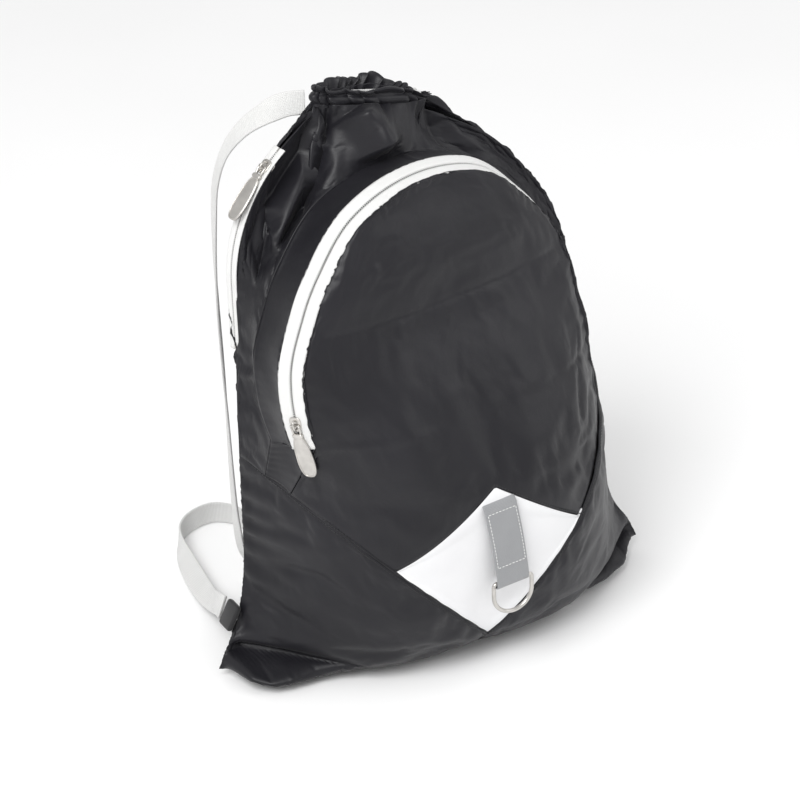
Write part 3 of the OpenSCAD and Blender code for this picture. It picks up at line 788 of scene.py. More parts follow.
def back_grid():
    rows, cols = 150, 130
    q, u = np.meshgrid(np.linspace(-1, 1, cols), np.linspace(0.02, LAST, rows))
    s = np.sin(q * math.pi / 2)
    grid = sack(BACK, BACK_FULLNESS, s, u)
    grid = grid + zip_gap(u) * (np.maximum(-s, 0) ** 4)[..., None]
    angle = math.pi - q * math.pi / 2
    top = mouth_point(angle, MOUTH_A, MOUTH_B, MOUTH_FOOT)
    share = smooth((u - 8.2) / (LAST - 8.2))[..., None]
    grid = grid * (1 - share) + top * share
    out = normals_of(grid) * -1
    away = np.linalg.norm(grid - grid[-1:], axis=-1)
    move = 2.6 * pleat(angle) * np.exp(-away / 16)
    move = move + 5.5 * wide_fold(angle) * np.exp(-away / 60) * smooth(away / 12)
    for line, width, height in BACK_FOLDS:
        move = move + fold(grid, line, width, height)
    move = move + crumple(grid, 60, 2.6, (1, 1, 0.6), 5.0) + crumple(grid, 22, 1.2, seed=1.0)
    move = move + seam_puckers(grid, np.abs(s), u)
    hold = smooth((1 - np.abs(q)) / 0.05) * smooth(u / 0.6)
    return grid + out * (move * hold)[..., None]


def seam_puckers(grid, s, u):
    """Short gathers that run in from a side seam."""
    run = grid[..., 2]
    wave = np.sin(run / 2.9 + 2.0 * np.sin(run / 23)) * (0.6 + 0.4 * np.sin(run / 17))
    return 2.0 * wave * np.exp(-(1 - s) / 0.035) * smooth((u - 0.6) / 0.5)


BACK_FOLDS = [
    ([(-60, 90, 385), (-75, 95, 330), (-70, 95, 270)], 9, 4.0),
    ([(-30, 90, 390), (-40, 95, 340), (-30, 95, 285)], 7, -4.5),
    ([(10, 90, 388), (22, 95, 330), (35, 95, 265)], 8, 4.5),
    ([(40, 85, 385), (60, 92, 330), (70, 92, 280)], 8, -4.0),
    ([(-120, 70, 120), (-70, 92, 80), (0, 94, 62)], 10, -3.5),
    ([(120, 70, 140), (60, 92, 90), (10, 94, 75)], 9, 3.0),
    ([(-110, 80, 60), (-60, 88, 36), (20, 90, 30)], 8, 3.0),
    ([(-100, 85, 200), (-30, 95, 180), (60, 94, 196)], 12, -2.5),
]


def make_back(shell):
    panel("back_shell", relax(back_grid(), 1.5, 0.02, 6.0, True), shell, "back_panel")


# ---- Wings: the lower front, with the two bottom corners that flop outwards --------------


# How far the loose cloth of each bottom corner slides forward on the floor, against x
LEFT_LOBE = ((-183, -177, -169, -158, -144, -125, -106, -88), (14, 36, 46, 46, 39, 22, 8, 0))
RIGHT_LOBE = ((84, 102, 126, 152, 165, 178, 183), (0, 4, 19, 33, 34, 28, 16))


def corner_lobe(grid, s, u):
    """The loose cloth of a bottom corner: a rounded lip on the floor under a deep crease."""
    x, z = grid[..., 0], grid[..., 2]
    move = np.zeros_like(grid)
    free = smooth((u - 0.02) / 0.6) * smooth((1 - np.abs(s)) / 0.05)
    for knots, reach, top in ((*LEFT_LOBE, 17), (*RIGHT_LOBE, 15)):
        far = np.interp(x, knots, reach, left=0, right=0) * free
        move[..., 1] -= far * np.sqrt(np.clip(1 - (z / top) ** 2, 0, 1))
        move[..., 1] += 0.26 * far * np.exp(-((z - top - 4) / 5) ** 2)
        move[..., 1] -= 0.12 * far * np.exp(-((z - top - 22) / 8) ** 2)
    return move


def wing_grid(side):
    rows, cols = 90, 110
    q, v = np.meshgrid(np.linspace(0, 1, cols), np.linspace(0, 1, rows))
    s = side * np.sin(q * math.pi / 2)
    top = station_at(s, v_height)
    u = 0.02 + (top - 0.02) * v ** 0.75
    base = sack(FACE, FACE_FULLNESS, s, u)
    grid = base + corner_lobe(base, s, u)
    out = normals_of(base) * (-side)
    move = crumple(base, 42, 1.8, (1, 1, 1.4), 2.0 + side) + crumple(base, 16, 0.8, seed=7.0)
    for line, width, deep in WING_FOLDS[side]:
        move = move + fold(base, line, width, deep, 0.3)
    height = base[..., 2]
    move = move + 1.9 * np.sin(height / 3.1 + 2 * np.sin(height / 19)) * np.exp(-(1 - np.abs(s)) / 0.04)
    drawn = np.exp(-(1 - v) * 7)
    run = np.abs(base[..., 0])
    move = move + 0.5 * drawn * np.sin(run / 2.6 + 1.5 * np.sin(run / 11)) * smooth((1 - v) / 0.04)
    hold = smooth((1 - np.abs(s)) / 0.02) * smooth((1 - v) / 0.03) * smooth(v / 0.06)
    return grid + out * (move * hold)[..., None]


WING_FOLDS = {
    -1: [
        ([(-138, 5, 128), (-118, -20, 124), (-100, -40, 118)], 6, 2.8),
        ([(-140, 5, 92), (-112, -30, 96), (-84, -50, 82)], 4.5, 2.6),
        ([(-134, 0, 84), (-108, -30, 86), (-88, -50, 74)], 4.5, -2.6),
        ([(-92, -50, 104), (-84, -60, 80), (-60, -70, 60)], 5, -2.6),
        ([(-150, 20, 58), (-126, -15, 54), (-100, -40, 40)], 5, 2.4),
        ([(-150, 20, 48), (-122, -15, 42), (-96, -40, 32)], 4.5, -3.2),
        ([(-30, -80, 34), (-70, -66, 30), (-110, -40, 30)], 7, 2.2),
    ],
    1: [
        ([(138, 5, 120), (112, -25, 110), (86, -50, 100)], 6, 2.6),
        ([(150, 15, 80), (124, -15, 72), (92, -45, 66)], 5, -2.8),
        ([(158, 12, 52), (130, -12, 46), (96, -40, 44)], 5, 2.6),
        ([(40, -80, 34), (80, -62, 30), (118, -34, 30)], 7, 2.0),
    ],
}


def make_wings(shell):
    for side, name in ((-1, "left"), (1, "right")):
        grid = relax(wing_grid(side), 1.0, 0.016, 4.0, side > 0)
        panel(f"{name}_wing", grid, shell, f"{name}_wing_panel", flip=side > 0)


# ---- Pocket ----------------------------------------------------------------------

LEFT_FOOT, RIGHT_FOOT = np.array([-129, -15, 159.0]), np.array([129, -17, 159.0])


def rim_sides():
    """The pocket's edge on each side, from the V seam up to its highest point."""
    angle = np.linspace(-ARCH_TAIL, 180 + ARCH_TAIL, 400)
    rim = arch_point(np.radians(angle), -0.3 - BAND, 1.3 + 1.2 * window(angle, 108, 122, 182, 194))
    top = int(np.argmax(rim[:, 2]))
    return np.vstack([LEFT_FOOT, rim[:top + 1]]), np.vstack([RIGHT_FOOT, rim[:top - 1:-1]])


def at_height(curve, z):
    return np.interp(z, curve[:, 2], curve[:, 0]), np.interp(z, curve[:, 2], curve[:, 1])


def pocket_grid():
    rows, cols = 120, 150
    s, t = np.meshgrid(np.linspace(-1, 1, cols), np.linspace(0, 1, rows))
    s = np.sin(s * math.pi / 2 * 0.98) / math.sin(math.pi / 2 * 0.98)
    left, right = rim_sides()
    top = left[-1, 2] - 0.02
    foot_x = s * 129
    foot = face_top(foot_x) + 0.4
    z = foot + (top - foot) * (1 - (1 - t) ** 1.8)
    (left_x, left_y), (right_x, right_y) = at_height(left, z), at_height(right, z)
    share = np.abs(s)
    x = left_x + (right_x - left_x) * (s + 1) / 2
    middle = (left_y + right_y) / 2
    u = halve(np.full_like(z, 0.5), np.full_like(z, 9.5), lambda u: along(FACE, u)[..., 2] < z, 23)
    bulge = np.maximum(middle - along(FACE, u)[..., 1], 15 * smooth((top - z) / 55))
    y = middle + (right_y - left_y) / 2 * s - bulge * (1 - share ** 3.2)
    wall_s = x / 148
    wall = sack(FACE, FACE_FULLNESS, wall_s, station_at(wall_s, lambda _: z))[..., 1]
    mix = np.maximum(smooth((z - foot) / 42), smooth((share - 0.8) / 0.2))
    y = wall + (y - wall) * mix
    return np.stack([x, y, z], -1), s, t


POCKET_FOLDS = [
    ([(-62, -30, 332), (-58, -34, 322)], 3.4, -2.2),
    ([(-52, -30, 338), (-48, -34, 326)], 3.0, -2.4),
    ([(-43, -26, 344), (-40, -32, 334)], 2.6, -2.0),
    ([(-57, -30, 336), (-53, -34, 326)], 2.6, 1.4),
    ([(-96, -40, 200), (-80, -60, 170), (-60, -75, 140)], 12, 2.5),
    ([(-70, -55, 235), (-55, -72, 190), (-48, -82, 150)], 14, -2.5),
    ([(100, -30, 240), (85, -55, 190), (80, -65, 150)], 10, -2.5),
    ([(60, -50, 330), (72, -45, 290), (76, -50, 240)], 12, -1.6),
    ([(118, -20, 190), (96, -50, 160), (82, -66, 128)], 7, 2.0),
]


def make_pocket(shell):
    grid, s, t = pocket_grid()
    out = normals_of(grid) * -1
    move = crumple(grid, 70, 2.2, (1, 1, 0.5), 4.0) + crumple(grid, 20, 0.5, seed=8.0)
    for line, width, height in POCKET_FOLDS:
        move = move + fold(grid, line, width, height)
    edge_way = np.minimum(1 - np.abs(s), 1 - t)
    run = np.degrees(np.arctan2(grid[..., 2] - ARCH_Z, -grid[..., 0]))
    for turn in (71, 76, 80, 84, 89):
        rim = arch_point(np.radians(turn), -BAND, 0.9)
        move = move + fold(grid, [rim, rim + np.array([0.06 * (80 - turn), -9, -9])], 1.9, -1.6, 0.4)
    drawn = np.exp(-edge_way / 0.035) * smooth(edge_way / 0.01)
    move = move + 0.55 * drawn * np.sin(run * 1.1 + 2 * np.sin(run / 7)) + 1.1 * drawn
    hold = smooth(edge_way / 0.02) * smooth(t / 0.03)
    grid = grid + out * (move * hold)[..., None]
    panel("pocket_front", relax(grid, 2.0, 0.010, 4.0, True), shell, "pocket_panel")


def make_diamond(white):
    rows, cols = 60, 80
    q, r = np.meshgrid(np.linspace(-1, 1, cols), np.linspace(0, 1, rows))
    s = q * DIAMOND_HALF / 149.5
    low = station_at(s, v_height) + 0.03
    high = station_at(s, face_top)
    grid = sack(FACE, FACE_FULLNESS, s, low + np.maximum(high - low, 0.01) * r)
    out = normals_of(grid) * -1
    edge = np.minimum(np.minimum(r, 1 - r) * 6, 1)
    move = 0.9 * smooth(edge) + 0.5 * crumple(grid, 24, 1.0, seed=6.0)
    grid = grid + out * (move * smooth(edge))[..., None]
    obj = cloth_piece("diamond_patch", grid, white, "white_fabric", "diamond_panel", flip=True)


def make_gusset(shell):
    """The strip behind the zip, and on down to the V seam at both ends."""
    rows, cols = 24, 320
    t, w = np.meshgrid(np.linspace(0, 1, cols), np.linspace(0, 1, rows))
    angle = np.radians(np.interp(t, [0, 0.12, 0.88, 1], [-15, -15, 195, 195]))
    front = arch_point(angle, BAND - 0.4, 0.5)
    back = gusset_edge(angle)
    left, right = rim_sides()
    for near, edge, foot in ((t / 0.12, left, LEFT_V_POINT), ((1 - t) / 0.12, right, RIGHT_V_POINT)):
        z = np.interp(near, [0, 0.8], [edge[0, 2], edge[1, 2]])
        x, y = at_height(edge, z)
        free = np.interp(near, [0.8, 1], [1, 0])[..., None]
        front = front + free * (np.stack([x, y + 0.5, z], -1) - front)
        low = np.clip(1 - near, 0, 1)[..., None]
        back = back + low * (foot - back)
    grid = front + (back - front) * w[..., None]
    out = normals_of(grid) * -1
    run = np.degrees(angle) + 400 * t
    move = 1.6 * 4 * w * (1 - w) + crumple(grid, 20, 1.0, seed=5.0)
    move = move + 0.35 * np.sin(run * 0.9) * (np.exp(-w / 0.15) + np.exp(-(1 - w) / 0.15))
    for place_at in (0.11, 0.515, 0.89):
        move = move - 1.4 * np.exp(-np.abs(t - place_at) / 0.0022)
    deep = np.linalg.norm(back - front, axis=-1)
    hold = smooth(np.minimum(w, 1 - w) / 0.08) * smooth(deep / 14)
    grid = grid + out * (move * hold)[..., None]
    obj = cloth_piece("pocket_side_strip", grid, shell, "shell_fabric", "pocket_gusset", flip=True)


# ---- The gathered mouth -------------------------------------------------------------

# Height, growth outwards, pleat depth, lobe depth
CASING_ROWS = [
    (5, -0.8, 1.8, 0.3), (7, -1.0, 1.8, 0.3), (8.6, 0.5, 2.2, 0.3), (10, 1.3, 2.5, 0.4),
    (12, 1.5, 2.6, 0.6), (13.5, 0.8, 2.4, 0.8), (14.6, -0.6, 2.0, 0.9), (15.4, -1.1, 1.8, 1.0),
    (16.2, -0.3, 2.2, 1.4), (17.4, 0.9, 2.8, 2.0), (18.8, 1.4, 3.2, 2.4), (19.6, 0.8, 3.2, 2.4),
    (19.6, -0.6, 3.0, 2.2), (18, -2.0, 2.6, 1.8), (15, -3.2, 2.0, 1.2), (12, -4.0, 1.6, 0.6)]
LINING_ROWS = [(6, -4.8, 1.0, 0.3), (9, -5.4, 1.0, 0.3), (12, -5.6, 1.0, 0.4), (15, -4.8, 1.2, 0.7)]


def casing_ring(stops, cols):
    stops = np.array(stops, float)
    u = np.linspace(0, len(stops) - 1, 4 * (len(stops) - 1) + 1)
    rows = along(stops, u)
    angle = np.linspace(-math.pi, math.pi, cols, endpoint=False)
    h, grow, depth, lobe = (rows[:, k][:, None] for k in range(4))
    broad = 0.5 + 0.5 * smooth((np.sin(angle - 0.4) + 0.3) / 0.8)
    ripple = depth * pleat(angle + 0.015 * h) + lobe * broad * np.sin(5 * angle + 1.2)
    raised = smooth((h - 13) / 6) * (2.0 * np.sin(4.3 * angle + 0.7) + 1.8 * np.sin(9.1 * angle)) * broad
    calm = 1 - 0.6 * smooth((np.cos(angle) - 0.86) / 0.12)
    size = grow + ripple * calm + 6 * smooth((-np.cos(angle) - 0.9) / 0.1)
    low = 1 - 0.7 * smooth((np.sin(angle) - 0.55) / 0.45)
    height = 7 + (h + raised - 7) * low
    return mouth_point(angle[None, :], MOUTH_A + size, MOUTH_B + size, height)


def make_mouth(shell, cord_white):
    for name, rows, cols, node in (
            ("gathered_casing", CASING_ROWS, 720, "mouth_casing"),
            ("casing_lining", LINING_ROWS, 480, "mouth_facing")):
        cloth_piece(name, casing_ring(rows, cols), shell, "shell_fabric", node, 0.7, ring=True)
    angle = np.linspace(-math.pi, math.pi, 240, endpoint=False)
    path = mouth_point(angle, MOUTH_A - 3.2, MOUTH_B - 3.2, 10)
    up = np.tile([math.sin(MOUTH_TILT), 0, math.cos(MOUTH_TILT)], (240, 1))
    section = table((-2.6, 0), (-2, 0.6), (2, 0.6), (2.6, 0), (2, -0.6), (-2, -0.6))
    rings = sweep(path, up, section)
    hidden = tube_object("drawcord_in_casing", rings, cord_white, closed=True)
    place(hidden, "bag", "strap_cotton", "casing_cord")


# ---- Zips ------------------------------------------------------------------------


def arch_tape(name, inner, outer, material, node):
    angle = np.radians(np.linspace(-ARCH_TAIL, 180 + ARCH_TAIL, 300))
    a, v = np.meshgrid(angle, np.linspace(0, 1, 9))
    across = inner + (outer - inner) * v
    out = 0.4 + 0.5 * (1 - (2 * v - 1) ** 4) + 0.10 * np.sin(a * 130) * (1 - np.abs(2 * v - 1))
    cloth_piece(name, arch_point(a, across, out), material, "zip_tape", node, 0.9, flip=True)


# The bead of one turn of the coil, from the chain outwards: distance, radius, rise
TOOTH = ((0.0, 0.25, 0.0), (0.15, 0.5, 0.55), (0.7, 0.55, 0.9), (1.35, 0.5, 0.75), (1.7, 0.3, 0.2))


def coil_teeth(name, point, count, side, material, node):
    """One half of the coil: a bead for each turn, from point(share, across, out)."""
    around = np.linspace(0, 2 * math.pi, 6, endpoint=False)
    parts = []
    for k in range(count):
        share = (k + 0.5 + 0.25 * side) / count
        rings = []
        for d, r, o in TOOTH:
            centre = point(share, side * d, o)
            ahead = unit(point(share + 0.001, side * d, o) - centre)
            rise = unit(point(share, side * d, o + 0.5) - centre)
            rings.append([centre + 0.5 * r * math.cos(a) * 1.6 * ahead + 0.5 * r * math.sin(a) * rise
                          for a in around])
        parts.append((np.array(rings).reshape(-1, 3), ring_faces(len(TOOTH), 6)))
    place(joined(name, parts, material), "bag", "zip_coil", node)


def make_pocket_zip(tape, coil, white_thread):
    arch_tape("pocket_tape_outer_woven", 1.1, BAND + 0.4, tape, "pocket_tape_outer")
    arch_tape("pocket_tape_inner_woven", -BAND - 0.4, -1.1, tape, "pocket_tape_inner")

    def chain(share, across, out):
        return arch_point(math.radians(-ARCH_TAIL + (180 + 2 * ARCH_TAIL) * share), across, out - 0.1)

    for side, word in ((1, "outer"), (-1, "inner")):
        coil_teeth(f"pocket_coil_{word}_teeth", chain, 300, side, coil, f"pocket_coil_{word}")
    angle = np.radians(np.linspace(0.5 - ARCH_TAIL, 179.5 + ARCH_TAIL, 400))
    for across, word in ((BAND - 1.6, "outer"), (2.0 - BAND, "inner")):
        path = arch_point(angle, across, 1.0)
        up = arch_point(angle, across, 2.0) - path
        stitches(f"pocket_zip_stitches_{word}", path, up, white_thread, 1.6, 0.22, 2.2)


def frame_at(point, at):
    """A zip's own frame at one place: origin, across the chain, along it and outwards."""
    origin = point(at, 0.0, 0.0)
    near = point(at, 1.0, 0.0), point(at + 0.001, 0.0, 0.0), point(at, 0.0, 1.0)
    return (origin, *(unit(p - origin) for p in near))


SIDE_BASE = np.array([-136.0, 49.0, 304.0])
SIDE_TURN, SIDE_R = math.radians(8), 112.0
SIDE_ANGLE, SIDE_RUN = math.radians(46), 50.0
SIDE_LENGTH = SIDE_RUN + SIDE_R * (SIDE_ANGLE + math.radians(7))


def side_point(share, across, out):
    """A point of the side zip: share 0 at the foot of the straight run, 1 at the top end."""
    run = np.asarray(share) * SIDE_LENGTH
    angle = np.maximum(run - SIDE_RUN, 0) / SIDE_R
    r = SIDE_R + out
    x = -r * np.cos(angle)
    z = r * np.sin(angle) + np.minimum(run - SIDE_RUN, 0)
    c, s = math.cos(SIDE_TURN), math.sin(SIDE_TURN)
    lx, ly = x + SIDE_R, across
    return np.stack(np.broadcast_arrays(
        SIDE_BASE[0] + lx * c - ly * s, SIDE_BASE[1] + lx * s + ly * c, SIDE_BASE[2] + z), -1)


def in_frame(points, place_at):
    origin, across, forward, out = place_at
    points = np.asarray(points, float)
    return origin + points[:, :1] * across + points[:, 1:2] * forward + points[:, 2:] * out


def rounded_plate(outline, low, high, bevel):
    """A plate with rounded edges from an outline going round; rings from the bottom to the top."""
    outline = np.array(outline, float)
    ahead = np.roll(outline, -1, 0) - np.roll(outline, 1, 0)
    inward = unit(np.stack([-ahead[:, 1], ahead[:, 0]], -1))
    steps = [(bevel * (1 - math.sin(a)), bevel * (1 - math.cos(a))) for a in np.radians([0, 30, 60, 90])]
    rings = [(d, low + h) for d, h in steps] + [(d, high - h) for d, h in steps[::-1]]
    pts = np.concatenate([np.concatenate([outline + d * inward, np.full((len(outline), 1), h)], 1)
                          for d, h in rings])
    return pts, ring_faces(len(rings), len(outline))


def oval(half_w, half_l, centre_y=0.0, power=2.0, count=40, taper=0.0):
    a = np.linspace(0, 2 * math.pi, count, endpoint=False)
    c, s = np.cos(a), np.sin(a)
    x = half_w * np.sign(c) * np.abs(c) ** (2 / power)
    y = half_l * np.sign(s) * np.abs(s) ** (2 / power)
    x = x * (1 + taper * y / half_l)
    return np.stack([x, y + centre_y], -1)


def tube_part(path, radius, count=10, closed=False):
    path = np.asarray(path, float)
    hint = np.tile([0.3, 0.2, 0.93], (len(path), 1))
    rings = sweep(path, hint, round_section(radius, count))
    return rings.reshape(-1, 3), ring_faces(*rings.shape[:2], closed)


def slider_parts():
    """Two plates, the neck between them and the bail that holds the pull."""
    top = rounded_plate(oval(4.6, 5.6, 0, 3.2, taper=0.12), 1.4, 2.7, 0.45)
    under = rounded_plate(oval(4.5, 5.5, 0, 3.2, taper=0.12), -2.6, -1.4, 0.4)
    neck = rounded_plate(oval(0.55, 1.8, 3.2), -1.5, 1.5, 0.1)
    bail = tube_part([(0, -3.6, 2.4), (0, -3.9, 4.0), (0, -3.0, 5.3), (0, -0.5, 5.75), (0, 2.2, 5.3),
                      (0, 3.3, 4.0), (0, 3.1, 2.4)], 0.75)
    return [top, under, neck, bail]


def pull_parts():
    """The crossbar, the collar with its two cheeks, and the flat satin tab with a raised rim."""
    bar = tube_part([(x, 0, 0) for x in np.linspace(-3.7, 3.7, 9)], 0.8)
    cheeks = [tube_part([(side * 3.3, 0.2, 0), (side * 3.3, -2.5, -0.05), (side * 3.0, -5.5, -0.1),
                         (side * 2.2, -8.0, -0.2)], 0.85) for side in (-1, 1)]
    collar = rounded_plate(oval(4.3, 2.0, -8.4, 2.8), -1.35, 1.35, 0.6)
    tab = rounded_plate(oval(7.0, 17.6, -26.4, 2.7, 72, taper=-0.1), -1.1, 0.75, 0.55)
    outline = oval(6.1, 16.6, -26.4, 2.7, 72, taper=-0.1)
    rim = tube_part(np.concatenate([outline, np.full((72, 1), 0.7)], 1), 0.42, 8, closed=True)
    return [bar, *cheeks, collar, tab, rim]


PIN_OUT, PIN_BACK = 3.7, -0.6


def make_slider(name, place_at, metal):
    parts = [(in_frame(p, place_at), f) for p, f in slider_parts()]
    place(joined(f"{name}_body", parts, metal), name, "nickel", name)


def make_pull(name, place_at, tilt, metal):
    """The pull on its pin; the tilt turns the tab's tip towards the cloth or away from it."""
    origin, across, forward, out = place_at
    pin = origin + PIN_BACK * forward + PIN_OUT * out
    c, s = math.cos(tilt), math.sin(tilt)
    forward, out = c * forward - s * out, c * out + s * forward
    parts = [(in_frame(p, (pin, across, forward, out)), f) for p, f in pull_parts()]
    place(joined(f"{name}_tab", parts, metal), name, "nickel", name)


def make_zip_stops(metal):
    """The crimped stops at both ends of each chain."""
    tail = 0.9 + ARCH_TAIL
    for zip_name, point, ends in (
            ("pocket", arch_point, (math.radians(-tail), math.radians(180 + tail))),
            ("side", side_point, (-0.01, 1.01))):
        pts, faces = rounded_plate(oval(3.0, 1.5, 0, 5), -1.3, 1.3, 0.5)
        parts = [(in_frame(pts, frame_at(point, at)), faces) for at in ends]
        obj = joined(f"{zip_name}_zip_end_stops", parts, metal)
        place(obj, "bag", "nickel", f"{zip_name}_zip_stops")


def make_side_zip(tape, coil, shell, white_thread):
    share, v = np.meshgrid(np.linspace(-0.02, 1.02, 140), np.linspace(0, 1, 9))
    for side, word, flip in ((-1, "front", False), (1, "back", True)):
        across = side * (1.1 + 4.9 * v)
        out = 0.4 + 0.45 * (1 - (2 * v - 1) ** 4) + 0.1 * np.sin(share * 300)
        grid = side_point(share, across, out)
        cloth_piece(f"side_tape_{word}_woven", grid, tape, "zip_tape", f"side_tape_{word}", 0.9, flip=flip)
        coil_teeth(f"side_coil_{word}_teeth", lambda h, d, o: side_point(h, d, o - 0.1), 105, side, coil,
                   f"side_coil_{word}")
    line = np.linspace(0, 1, 160)
    for side, word in ((-1, "front"), (1, "back")):
        path = side_point(line, side * 5.0, 0.95)
        up = side_point(line, side * 5.0, 2.0) - path
        stitches(f"side_zip_stitches_{word}", path, up, white_thread, 1.6, 0.22, 2.2)
    h, w = np.meshgrid(np.linspace(0.02, 0.42, 40), np.linspace(-5.6, 5.6, 10))
    grid = side_point(h, w, -4.4 - 0.5 * np.cos(w / 3))
    cloth_piece("side_pocket_cloth", grid, shell, "shell_fabric", "side_pocket_lining", 0.8)


# ---- Seams, tabs and ring -----------------------------------------------------------


def v_seam(side):
    """Points of the V seam, with the way up the cloth and the way out of it."""
    s = side * np.linspace(0.004, 0.985, 220)
    u = station_at(s, v_height)
    p = sack(FACE, FACE_FULLNESS, s, u)
    ahead = unit(np.gradient(p, axis=0)) * side
    up = unit(sack(FACE, FACE_FULLNESS, s, u + 0.05) - p)
    out = unit(np.cross(ahead, up))
    return p, up, out


def make_v_seam(shell, black_thread):
    for side, word in ((-1, "left"), (1, "right")):
        p, up, out = v_seam(side)
        run = np.abs(p[:, :1])
        rise = 0.25 * np.sin(run / 2.4 + np.sin(run / 9))
        section = [(-3.4, -0.3), (-3.0, 0.7), (-1.8, 1.1), (-0.6, 1.0), (0.0, 0.35), (0.7, 0.9),
                   (1.9, 1.0), (2.6, 0.6), (3.0, -0.3)]
        rings = np.stack([p + a * up + (b + rise + 0.5) * out for a, b in section], 0)
        cloth_piece(f"{word}_raised_seam", rings, shell, "binding", f"wing_seam_{word}", 0.7, flip=side < 0)
        for offset, tag in ((-2.2, "lower"), (1.3, "upper")):
            path = p + offset * up + (1.55 + rise) * out
            stitches(f"{word}_{tag}_seam_stitches", path, out, black_thread)


def make_diamond_edge(black_thread):
    s = np.linspace(-1, 1, 200) * DIAMOND_HALF / 150
    u = station_at(s, face_top)
    p = sack(FACE, FACE_FULLNESS, s, u)
    over = unit(sack(FACE, FACE_FULLNESS, s, u + 0.05) - p)
    ahead = unit(np.gradient(p, axis=0))
    out = unit(np.cross(ahead, over))
    stitches("diamond_edge_stitches", p + 2.2 * over + 0.9 * out, out, black_thread)


RING_AT = np.array([10.0, -92, 82])
RING_INNER, RING_WIRE, RING_DROP = 29.0, 3.2, 27.0
TAB_W, TAB_BOW = 27.0, 1.6


def make_ring(metal):
    half = RING_INNER / 2 + RING_WIRE / 2
    arc = np.radians(np.linspace(0, -180, 40))
    bend = half - RING_DROP
    corner = 2.4
    path = [(x, 0, 0) for x in np.linspace(-half + corner, half - corner, 12)]
    path += [(half - corner + corner * math.sin(a), 0, -corner + corner * math.cos(a))
             for a in np.radians(np.linspace(12, 90, 6))]
    path += [(half * math.cos(a), 0, bend + half * math.sin(a)) for a in arc]
    path += [(-half + corner - corner * math.cos(a), 0, -corner + corner * math.sin(a))
             for a in np.radians(np.linspace(0, 78, 6))]
    pts, faces = tube_part(np.array(path), RING_WIRE / 2, 16, closed=True)
    obj = mesh_object("ring_of_nickel", pts + RING_AT, faces, metal)
    place(obj, "d_ring", "nickel", "d_ring")


def make_tab(grey, white_thread):
    """The webbing runs down the diamond and round the ring's bar, ending behind it."""
    top = np.array([1.0, -91.2, DIAMOND_TOP - 13])
    tuck = [top + np.array([0.1, 6.0, 5.0]), top + np.array([0, 3.4, 2.5])]
    foot = RING_AT + np.array([-1.0, -2.4, 4])

    def down(t, lift=0.0):
        """A point of the webbing, t of the way down, bowed a little off the diamond."""
        return top + (foot - top) * t - np.array([0, TAB_BOW * math.sin(math.pi * t) + lift, 0])

    line = [down(t) for t in np.linspace(0, 1, 26)]
    around = [RING_AT + np.array([-1, -2.5 * math.cos(a), -2.5 * math.sin(a)])
              for a in np.radians(np.linspace(0, 170, 12))]
    path = np.array(tuck + line + around)
    lean = unit(np.array([1.0, 0, 0.08]))
    half = TAB_W / 2
    flat = np.linspace(-half + 1.5, half - 1.5, 9)
    section = table(
        (-half, 0), (-half + 0.5, 0.6), *[(x, 0.72) for x in flat], (half - 0.5, 0.6),
        (half, 0), (half - 0.5, -0.6), *[(x, -0.72) for x in flat[::-1]], (-half + 0.5, -0.6))
    obj = tube_object("ring_webbing", sweep(path, np.tile(lean, (len(path), 1)), section), grey)
    place(obj, "bag", "grey_webbing", "ring_tab")
    first, last, edge = 0.06, 0.8, half - 2
    rows = [(tag, down(t, 0.85) + np.linspace(-edge, edge, 40)[:, None] * lean, 0.3)
            for t, tag in ((last, "low"), (first, "high"))]
    rows += [(tag, np.array([down(t, 0.85) for t in np.linspace(first, last, 60)]) + side * edge * lean, 0.28)
             for side, tag in ((-1, "left"), (1, "right"))]
    for tag, path, radius in rows:
        up = np.tile([0, -1.0, 0], (len(path), 1))
        stitches(f"webbing_stitches_{tag}", path, up, white_thread, 2.0, radius, 2.7)


def make_corner_tabs(binding):
    """A folded tab of binding at each bottom corner, which holds the strap's end."""
    pts, faces = rounded_plate(oval(8.5, 10.5, 0, 7, 48), -2.0, 2.0, 1.5)
    for lean, at, node in ((28, (-165, 27, 44), "left_corner_tab"), (-28, (163, 34, 40), "right_corner_tab")):
        c, s = math.cos(math.radians(lean)), math.sin(math.radians(lean))
        tab_frame = np.array(at), np.array([0, 1, 0]), np.array([s, 0, c]), np.array([c, 0, -s])
        obj = mesh_object(f"{node}_folded", in_frame(pts, tab_frame), faces, binding)
        place(obj, "bag", "binding", node)


# ---- Stage -----------------------------------------------------------------------


def make_stage():
    size = 6000
    corners = [(-size, -size, 0), (size, -size, 0), (size, size, 0), (-size, size, 0)]
    floor = mesh_object("floor", corners, [(0, 1, 2, 3)], floor_paper("floor_paper"))
    world = bpy.data.worlds.new("studio")
    world.use_nodes = True
    background = world.node_tree.nodes["Background"]
    background.inputs["Color"].default_value = (1, 1, 1, 1)
    background.inputs["Strength"].default_value = 0.72
    bpy.context.scene.world = world
    for name, place_at, target, size, power in (
            ("key", (-1.6, -1.1, 2.3), (0, 0, 0.2), 1.5, 62),
            ("fill", (1.9, -1.2, 1.5), (0, 0, 0.2), 1.6, 12)):
        data = bpy.data.lights.new(name, "AREA")
        data.size = size
        data.energy = power
        lamp = bpy.data.objects.new(name, data)
        bpy.context.scene.collection.objects.link(lamp)
        lamp.location = place_at
        lamp.rotation_euler = (Vector(target) - Vector(place_at)).to_track_quat("-Z", "Y").to_euler()
    view = bpy.context.scene.view_settings
    view.view_transform = "Standard"
    view.look = "None"


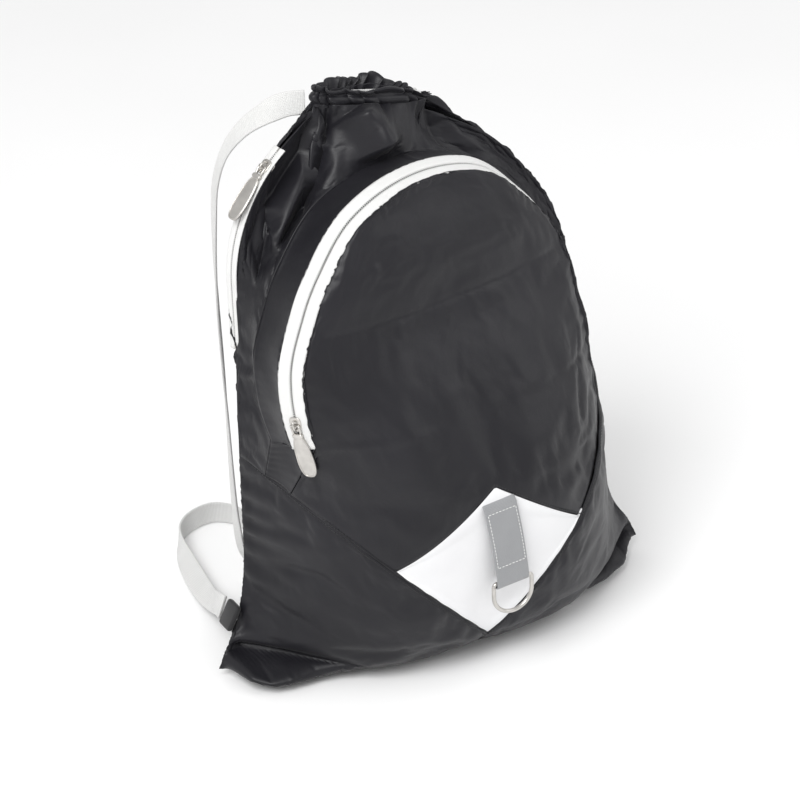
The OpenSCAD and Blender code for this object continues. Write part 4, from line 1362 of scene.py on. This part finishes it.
def main():
    make_camera()
    cotton = woven_band("strap_cotton", (0.62, 0.62, 0.61), (0.88, 0.88, 0.87), 260, 300, 0.75, 0.0006)
    make_strap("left_strap_webbing", LEFT_ROUTE, cotton)
    make_strap("right_strap_webbing", RIGHT_ROUTE, cotton)

    shell = nylon("black_nylon", (0.0075, 0.0072, 0.0095), (0.0125, 0.012, 0.0155), 0.40, 0.04, 0.3)
    white = nylon("white_fabric", (0.72, 0.72, 0.73), (0.84, 0.84, 0.85), 0.5, 0.2, 0.4)
    tape = woven_band("zip_tape", (0.74, 0.74, 0.73), (0.9, 0.9, 0.89), 900, 900, 0.6, 0.0002)
    grey = woven_band("grey_webbing", (0.26, 0.265, 0.275), (0.40, 0.405, 0.415), 330, 420, 0.42, 0.0004)
    binding = woven_band("corner_binding", (0.008, 0.008, 0.009), (0.035, 0.034, 0.038),
                         500, 500, 0.6, 0.0005)
    coil = coil_plastic("zip_coil")
    metal = nickel("satin_nickel", (0.62, 0.60, 0.57), 0.32)
    black_thread = thread("black_thread", (0.006, 0.006, 0.007), (0.022, 0.022, 0.024))
    white_thread = thread("white_thread", (0.66, 0.66, 0.65), (0.85, 0.85, 0.84))

    make_front(shell)
    make_back(shell)
    make_wings(shell)
    make_pocket(shell)
    make_gusset(shell)
    make_diamond(white)
    make_mouth(shell, cotton)
    make_pocket_zip(tape, coil, white_thread)
    make_side_zip(tape, coil, shell, white_thread)
    make_zip_stops(metal)
    side_at = (SIDE_RUN + SIDE_R * SIDE_ANGLE) / SIDE_LENGTH
    zips = (("pocket", frame_at(arch_point, -math.radians(SLIDER_TAIL)), -6),
            ("side", frame_at(side_point, side_at), -4))
    for name, zip_frame, _ in zips:
        make_slider(f"{name}_slider", zip_frame, metal)
    for name, zip_frame, tilt in zips:
        make_pull(f"{name}_pull", zip_frame, math.radians(tilt), metal)
    make_v_seam(shell, black_thread)
    make_diamond_edge(black_thread)
    make_ring(metal)
    make_tab(grey, white_thread)
    make_corner_tabs(binding)
    make_stage()


main()
